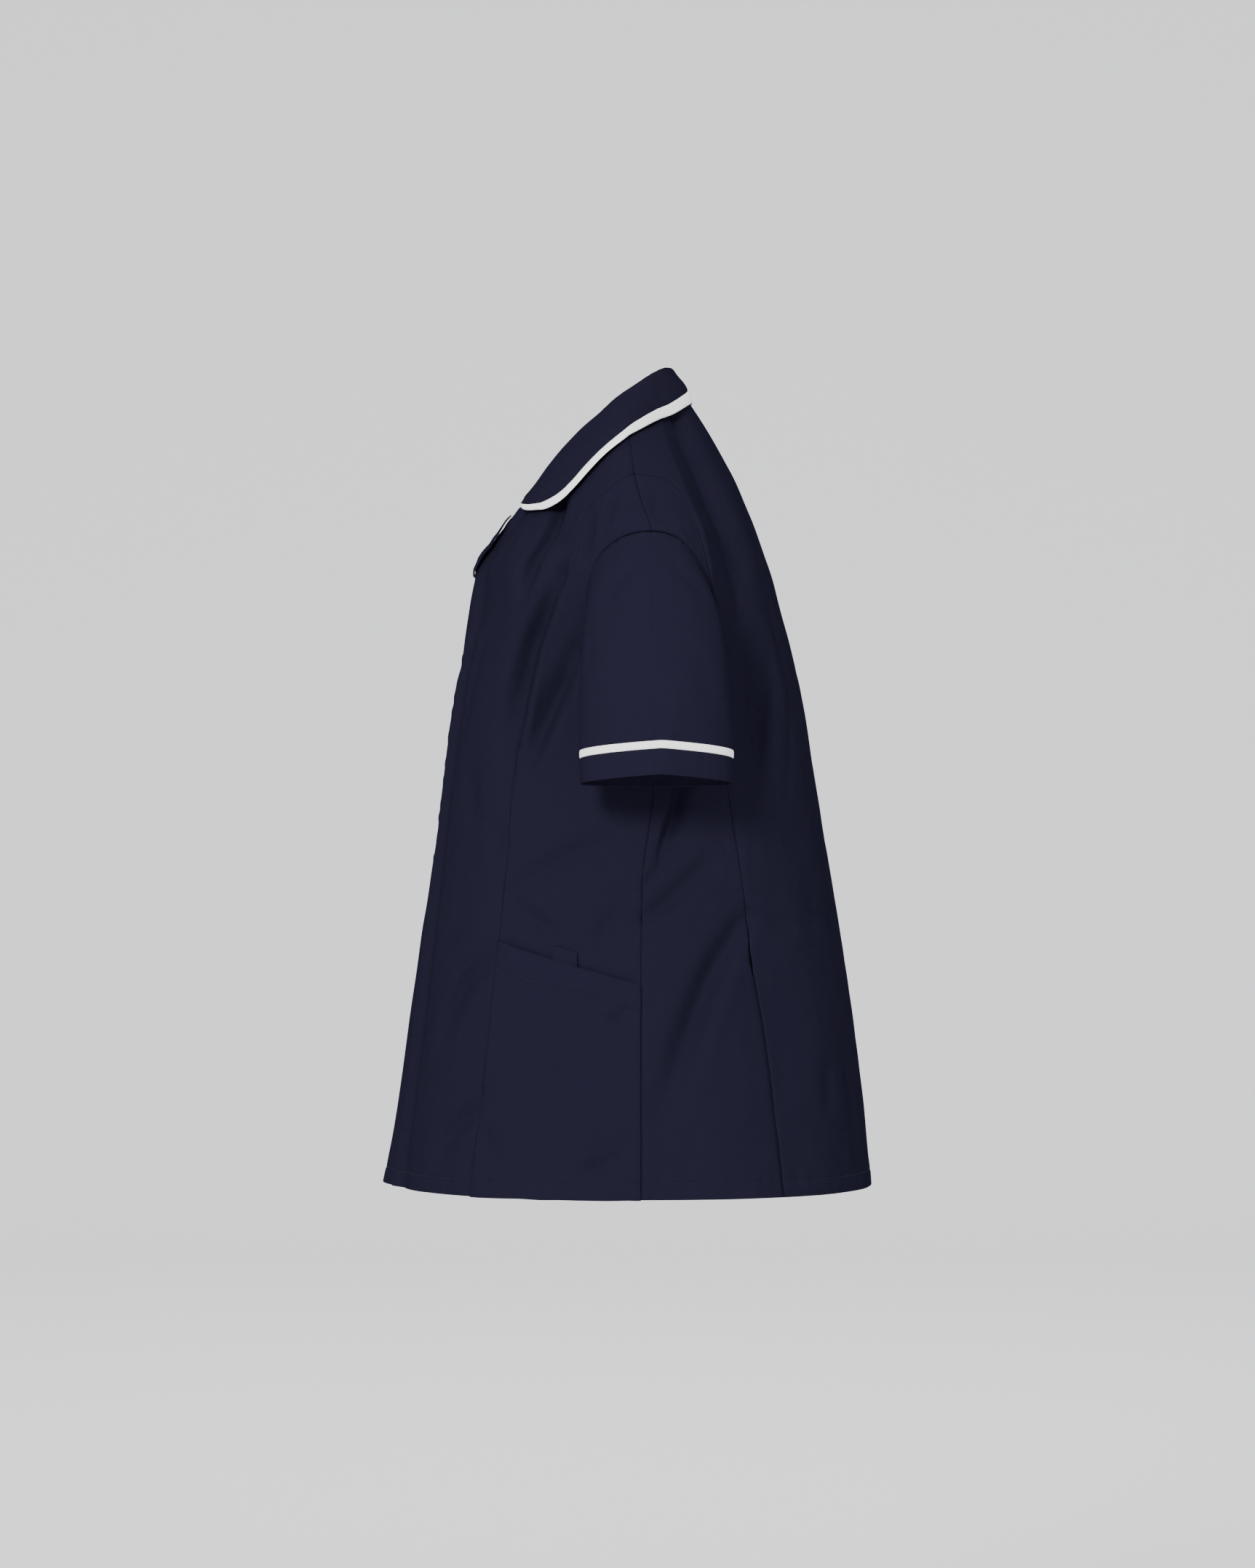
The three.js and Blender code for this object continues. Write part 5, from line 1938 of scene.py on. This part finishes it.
def spline(stops: Array, steps: int) -> Array:
    """Lays a smooth line through stops, spaced by the square root of their distances.

    Args:
        stops: The stops.
        steps: How many steps there are from stop to stop.

    Returns:
        The line's points.
    """
    knots = np.concatenate([[0], np.cumsum(np.sqrt(np.linalg.norm(np.diff(stops, axis=0), axis=-1)))])
    ends = [2 * stops[0] - stops[1], *stops, 2 * stops[-1] - stops[-2]]
    t = np.concatenate([[-knots[1]], knots, [2 * knots[-1] - knots[-2]]])
    line = []
    for i in range(1, len(stops)):
        p0, p1, p2, p3 = ends[i - 1], ends[i], ends[i + 1], ends[i + 2]
        t0, t1, t2, t3 = t[i - 1], t[i], t[i + 1], t[i + 2]
        for s in np.linspace(t1, t2, steps, endpoint=False):
            a1 = ((t1 - s) * p0 + (s - t0) * p1) / (t1 - t0)
            a2 = ((t2 - s) * p1 + (s - t1) * p2) / (t2 - t1)
            a3 = ((t3 - s) * p2 + (s - t2) * p3) / (t3 - t2)
            b1 = ((t2 - s) * a1 + (s - t0) * a2) / (t2 - t0)
            b2 = ((t3 - s) * a2 + (s - t1) * a3) / (t3 - t1)
            line.append(((t2 - s) * b1 + (s - t1) * b2) / (t2 - t1))
    return np.array([*line, stops[-1]])


@dataclass(frozen=True)
class Stitching:
    """A row of stitches, each a small rounded length of thread lying on the cloth."""

    length: float = 2.5
    pitch: float = 3.3
    radius: float = 0.3
    around: int = 6
    along: int = 5
    sink: float = 0.06

    def sew(self, name: str, line: Array, out: Array, finish: "ThreadFinish") -> None:
        """Sews along a line.

        Args:
            name: The row's name.
            line: Points on the cloth, in millimetres.
            out: The way out of the cloth at each.
            finish: The thread's finish.
        """
        length = np.concatenate([[0], np.cumsum(np.linalg.norm(np.diff(line, axis=0), axis=-1))])
        count = max(1, int((length[-1] - self.length) / self.pitch) + 1)
        starts = self.pitch * np.arange(count)
        t = np.linspace(0, 1, self.along)
        at = starts[:, None] + self.length * t
        middle = np.stack([np.interp(at, length, line[:, k]) for k in range(3)], -1)
        up = unit(np.stack([np.interp(at, length, out[:, k]) for k in range(3)], -1))
        ahead = unit(np.gradient(middle, axis=1))
        aside = np.cross(ahead, up)
        radius = self.radius * np.sqrt(np.clip(1 - (2 * t - 1) ** 2, 0.03, 1))
        turn = np.linspace(0, TURN, self.around, endpoint=False)
        ring = aside[:, :, None] * np.cos(turn)[:, None] + up[:, :, None] * np.sin(turn)[:, None]
        centre = middle + up * (self.radius * 0.55 - self.sink)
        verts = centre[:, :, None] + ring * radius[None, :, None, None]
        self.mesh(name, verts, finish)

    def mesh(self, name: str, verts: Array, finish: "ThreadFinish") -> None:
        """Makes the stitches' mesh from rings of points.

        Args:
            name: The row's name.
            verts: Points by stitch, place along it and turn.
            finish: The thread's finish.
        """
        count, along, around = verts.shape[:3]
        index = np.arange(count * along * around).reshape(count, along, around)
        after = np.roll(index, -1, axis=2)
        sides = np.stack([index[:, :-1], after[:, :-1], after[:, 1:], index[:, 1:]], -1).reshape(-1, 4)
        caps = np.concatenate([index[:, 0, ::-1], index[:, -1]])
        faces = sides.tolist() + caps.tolist()
        obj = smooth_object(name, (verts.reshape(-1, 3) * MM).tolist(), faces)
        obj.data.materials.append(finish.material())
        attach(obj, ROOT)
        log.info("%s: %d stitches", name, count)


@dataclass(frozen=True)
class Sewing:
    """Every row of stitches that shows."""

    pattern: Pattern
    grids: dict[str, Grid]
    thread: "ThreadFinish"
    chest_row: tuple[Spot2, Spot2] = ((-48.5, -164), (-36, -167.5))
    vent_row: tuple[Spot2, Spot2] = ((110, -482), (156, -500))

    def build(self) -> None:
        """Sews the hem, the pocket bands, the pen loop and the short rows."""
        stitching = Stitching()
        for name in PANEL_NAMES:
            line, out = self.grids[name].row(HEM_ROW)
            stitching.sew(f"{name}_hem_stitches", line, out, self.thread)
        for side in ("left", "right"):
            line, out = self.grids[f"{side}_pocket"].below_top(PatchPocket().band)
            stitching.sew(f"{side}_pocket_stitches", line, out, self.thread)
        self.pen_loop(Stitching(length=1.9, pitch=2.5, radius=0.24))
        for side, name in ((1, "left"), (-1, "right")):
            self.short_row(f"{name}_chest_stitches", side, self.chest_row, stitching)
            self.short_row(f"{name}_vent_stitches", side, self.vent_row, stitching)

    def pen_loop(self, stitching: Stitching) -> None:
        """Sews round the inside of the pen loop's edges.

        Args:
            stitching: The kind of stitch.
        """
        grid = self.grids["pen_loop"]
        rows, columns = grid.points.shape[:2]
        sides = {
            "left": (slice(1, rows - 2), 2), "right": (slice(1, rows - 2), columns - 3),
            "top": (rows - 3, slice(2, columns - 2)),
        }
        for name, (i, j) in sides.items():
            stitching.sew(f"pen_loop_{name}_stitches", grid.points[i, j], grid.out[i, j], self.thread)

    def short_row(
        self, name: str, side: int, ends: tuple[Spot2, Spot2], stitching: Stitching,
    ) -> None:
        """Sews a straight row between two places.

        Args:
            name: The row's name.
            side: 1 for the left side and -1 for the right.
            ends: Both places, each a Y and a height.
            stitching: The kind of stitch.
        """
        form = self.pattern.form
        share = np.linspace(0, 1, 24)
        (start_y, start_z), (end_y, end_z) = ends
        y, z = lerp(start_y, end_y, share), lerp(start_z, end_z, share)
        behind = start_y > self.pattern.armhole.y
        angle = side * (form.back_angle if behind else form.front_angle)(z, y)
        out = form.plain_normal(angle, z)
        stitching.sew(name, form.point(angle, z) + 0.15 * out, out, self.thread)


# Finishes


class Wire:
    """A shader value that can be written in sums."""

    def __init__(self, shader: "Shader", socket: bpy.types.NodeSocket) -> None:
        """Takes the shader and one output socket."""
        self.shader = shader
        self.socket = socket

    def maths(self, operation: str, first: "Wire | float", second: "Wire | float") -> "Wire":
        """Adds one Math node."""
        return self.shader.node("ShaderNodeMath", {"operation": operation}, {0: first, 1: second})

    def sine(self) -> "Wire":
        """Takes the sine."""
        return self.maths("SINE", self, 0.0)

    def __add__(self, other: "Wire | float") -> "Wire":
        """Adds."""
        return self.maths("ADD", self, other)

    __radd__ = __add__

    def __sub__(self, other: "Wire | float") -> "Wire":
        """Takes away."""
        return self.maths("SUBTRACT", self, other)

    def __rsub__(self, other: "Wire | float") -> "Wire":
        """Takes this away from a number."""
        return self.maths("SUBTRACT", other, self)

    def __mul__(self, other: "Wire | float") -> "Wire":
        """Multiplies."""
        return self.maths("MULTIPLY", self, other)

    __rmul__ = __mul__


class Shader:
    """A material's node tree, built node by node."""

    def __init__(self, name: str) -> None:
        """Makes an empty material.

        Args:
            name: The material's name.
        """
        self.material = bpy.data.materials.new(name)
        self.material.use_nodes = True
        self.tree = self.material.node_tree
        self.tree.nodes.clear()

    def node(
        self, kind: str, settings: dict | None = None, inputs: dict | None = None,
        output: int | str | None = 0,
    ) -> Wire | None:
        """Adds a node.

        Args:
            kind: The node's type.
            settings: Its own settings, set first.
            inputs: Values or wires for its sockets, by name or number.
            output: The output that is wanted.

        Returns:
            The wire from that output, or none if no output is wanted.
        """
        node = self.tree.nodes.new(kind)
        for key, value in (settings or {}).items():
            setattr(node, key, value)
        for key, value in (inputs or {}).items():
            if isinstance(value, Wire):
                self.tree.links.new(value.socket, node.inputs[key])
            else:
                node.inputs[key].default_value = value
        return None if output is None else Wire(self, node.outputs[output])

    def finish(self, surface: Wire) -> bpy.types.Material:
        """Joins the surface to the output and gives the material."""
        self.node("ShaderNodeOutputMaterial", None, {"Surface": surface}, output=None)
        return self.material


@dataclass(frozen=True)
class Finish:
    """A finish, whose material is made once."""

    name: str
    colour: Spot
    made: dict = field(default_factory=dict, compare=False, hash=False, kw_only=True)

    def material(self) -> bpy.types.Material:
        """Gives the finish's material."""
        if "material" not in self.made:
            self.made["material"] = self.make()
        return self.made["material"]

    def make(self) -> bpy.types.Material:
        """Builds the material of one plain colour.

        Returns:
            The material.
        """
        shader = Shader(self.name)
        surface = shader.node("ShaderNodeBsdfPrincipled", None, {
            "Base Color": (*self.colour, 1.0), **self.sockets(),
        }, output="BSDF")
        return shader.finish(surface)

    def sockets(self) -> dict[str, float]:
        """Gives the shader's other values."""
        return {}


@dataclass(frozen=True)
class ClothFinish(Finish):
    """A woven cloth's finish."""

    worn: Spot
    thread: float = 0.0005
    roughness: float = 0.82
    sheen: float = 0.0
    weave_depth: float = 0.00006

    def make(self) -> bpy.types.Material:
        """Builds the material: a fine weave, slubs and slight changes of shade.

        Returns:
            The material.
        """
        shader = Shader(self.name)
        uv = shader.node("ShaderNodeUVMap", {"uv_map": "cloth"})
        place = shader.node("ShaderNodeTexCoord", output="Object")
        step = TURN / self.thread
        threads = [
            (shader.node("ShaderNodeSeparateXYZ", None, {0: uv}, output=axis) * step).sine()
            for axis in ("X", "Y")
        ]
        weave = threads[0] * threads[1]
        stretched = shader.node("ShaderNodeMapping", None, {"Vector": uv, "Scale": (1.0, 0.12, 1.0)})
        slub = shader.node("ShaderNodeTexNoise", None, {
            "Vector": stretched, "Scale": 1400.0, "Detail": 2.0, "Roughness": 0.6,
        })
        cloud = shader.node("ShaderNodeTexNoise", None, {
            "Vector": place, "Scale": 7.0, "Detail": 3.0, "Roughness": 0.55,
        })
        shade = cloud * 0.7 + slub * 0.3
        colour = shader.node(
            "ShaderNodeMix", {"data_type": "RGBA"},
            {"Factor": shade, "A": (*self.colour, 1.0), "B": (*self.worn, 1.0)}, output=2,
        )
        height = weave * 0.5 + slub * 0.8
        bump = shader.node("ShaderNodeBump", None, {
            "Strength": 0.6, "Distance": self.weave_depth, "Height": height,
        }, output="Normal")
        surface = shader.node("ShaderNodeBsdfPrincipled", None, {
            "Base Color": colour,
            "Roughness": self.roughness + (shade - 0.5) * 0.12,
            "Sheen Weight": self.sheen,
            "Sheen Roughness": 0.45,
            "Specular IOR Level": 0.0,
            "Normal": bump,
        }, output="BSDF")
        return shader.finish(surface)


class ThreadFinish(Finish):
    """A sewing thread's finish."""

    def sockets(self) -> dict[str, float]:
        """Gives the shader's other values."""
        return {"Roughness": 0.7, "Specular IOR Level": 0.12}


class FloorFinish(Finish):
    """The pale floor's finish."""

    def sockets(self) -> dict[str, float]:
        """Gives the shader's other values."""
        return {"Roughness": 0.9, "Specular IOR Level": 0.1}


NAVY = ClothFinish(name="navy_cloth", colour=(0.0090, 0.0083, 0.0177), worn=(0.0109, 0.0099, 0.0207))
WHITE = ClothFinish(
    name="white_trim", colour=(0.88, 0.88, 0.89), worn=(0.92, 0.92, 0.92), thread=0.0004,
    roughness=0.75, sheen=0.1, weave_depth=0.00004,
)
THREAD = ThreadFinish(name="navy_thread", colour=(0.0115, 0.0103, 0.0212))
FLOOR = FloorFinish(name="pale_floor", colour=(0.72, 0.72, 0.73))


# The studio


@dataclass(frozen=True)
class Lamp:
    """A square area light: where it stands and is aimed, in metres, its side and its watts."""

    name: str
    place: Spot
    towards: Spot
    size: float
    power: float

    def build(self) -> None:
        """Makes the light."""
        light = bpy.data.lights.new(self.name, "AREA")
        light.size = self.size
        light.energy = self.power
        obj = bpy.data.objects.new(self.name, light)
        obj.location = self.place
        aim = Vector(self.towards) - Vector(self.place)
        obj.rotation_euler = aim.to_track_quat("-Z", "Y").to_euler()
        bpy.context.scene.collection.objects.link(obj)


MIDDLE = (0.0, 0.0, -0.322)
LAMPS = (
    Lamp("key", (4.8, -1.6, 1.55), MIDDLE, 1.1, 315),
    Lamp("fill", (3.6, 3.6, 0.6), MIDDLE, 2.4, 30),
    Lamp("background", (-3.2, 0.0, 3.6), (-8.0, 0.0, -1.0), 5.0, 250),
)


@dataclass(frozen=True)
class Studio:
    """The pale floor with its raised rim, the lights and the camera."""

    floor_z: float = -1.4
    floor_radius: float = 7.0
    rim_radius: float = 11.0
    rim_height: float = 6.0
    camera_distance: float = 4.5
    frame_height: float = 1.3946
    sensor: float = 36.0
    sky_colour: Spot = (0.97, 0.98, 1.0)
    sky_strength: float = 1.4

    def build(self) -> None:
        """Makes the floor, lights and camera."""
        self.floor()
        self.lights()
        self.camera()

    def floor(self) -> None:
        """Makes one smooth bowl: a level floor that rises softly far away."""
        around, steps = 96, 24
        profile = [(0.02, self.floor_z), (self.floor_radius * 0.5, self.floor_z)]
        for i in range(steps + 1):
            turn = QUARTER * i / steps
            radius = self.floor_radius + (self.rim_radius - self.floor_radius) * math.sin(turn)
            profile.append((radius, self.floor_z + self.rim_height * (1 - math.cos(turn))))
        turns = np.linspace(0, TURN, around, endpoint=False)
        verts = [(r * math.cos(t), r * math.sin(t), z) for r, z in profile for t in turns]
        index = np.arange(len(profile) * around).reshape(len(profile), around)
        after = np.roll(index, -1, axis=1)
        faces = np.stack([index[:-1], after[:-1], after[1:], index[1:]], -1).reshape(-1, 4).tolist()
        faces.append(index[0].tolist())
        obj = smooth_object("floor", verts, faces)
        obj.data.materials.append(FLOOR.material())

    def lights(self) -> None:
        """Makes a key light near the camera, a faint fill, a light on the background and a pale sky."""
        for lamp in LAMPS:
            lamp.build()
        world = bpy.data.worlds.new("sky")
        world.use_nodes = True
        background = world.node_tree.nodes["Background"]
        background.inputs["Color"].default_value = (*self.sky_colour, 1.0)
        background.inputs["Strength"].default_value = self.sky_strength
        bpy.context.scene.world = world

    def camera(self) -> None:
        """Makes the camera: level with the middle of the picture, square to the left side."""
        data = bpy.data.cameras.new("camera")
        data.sensor_width = self.sensor
        data.lens = self.sensor * self.camera_distance / self.frame_height
        obj = bpy.data.objects.new("camera", data)
        obj.location = (self.camera_distance, MIDDLE[1], MIDDLE[2])
        obj.rotation_euler = (QUARTER, 0.0, QUARTER)
        bpy.context.scene.collection.objects.link(obj)
        bpy.context.scene.camera = obj


def main() -> None:
    """Builds the studio and then the tunic, piece by piece."""
    Studio().build()
    pattern = Pattern(BodyForm())
    body = Body(pattern, NAVY)
    body.build()
    Sewing(pattern, body.grids, THREAD).build()
    for side, name in ((1, "left"), (-1, "right")):
        Sleeve(pattern, side, name).build(NAVY, WHITE)
    Collar(pattern).build(NAVY, WHITE)
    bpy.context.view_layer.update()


if __name__ == "__main__":
    main()
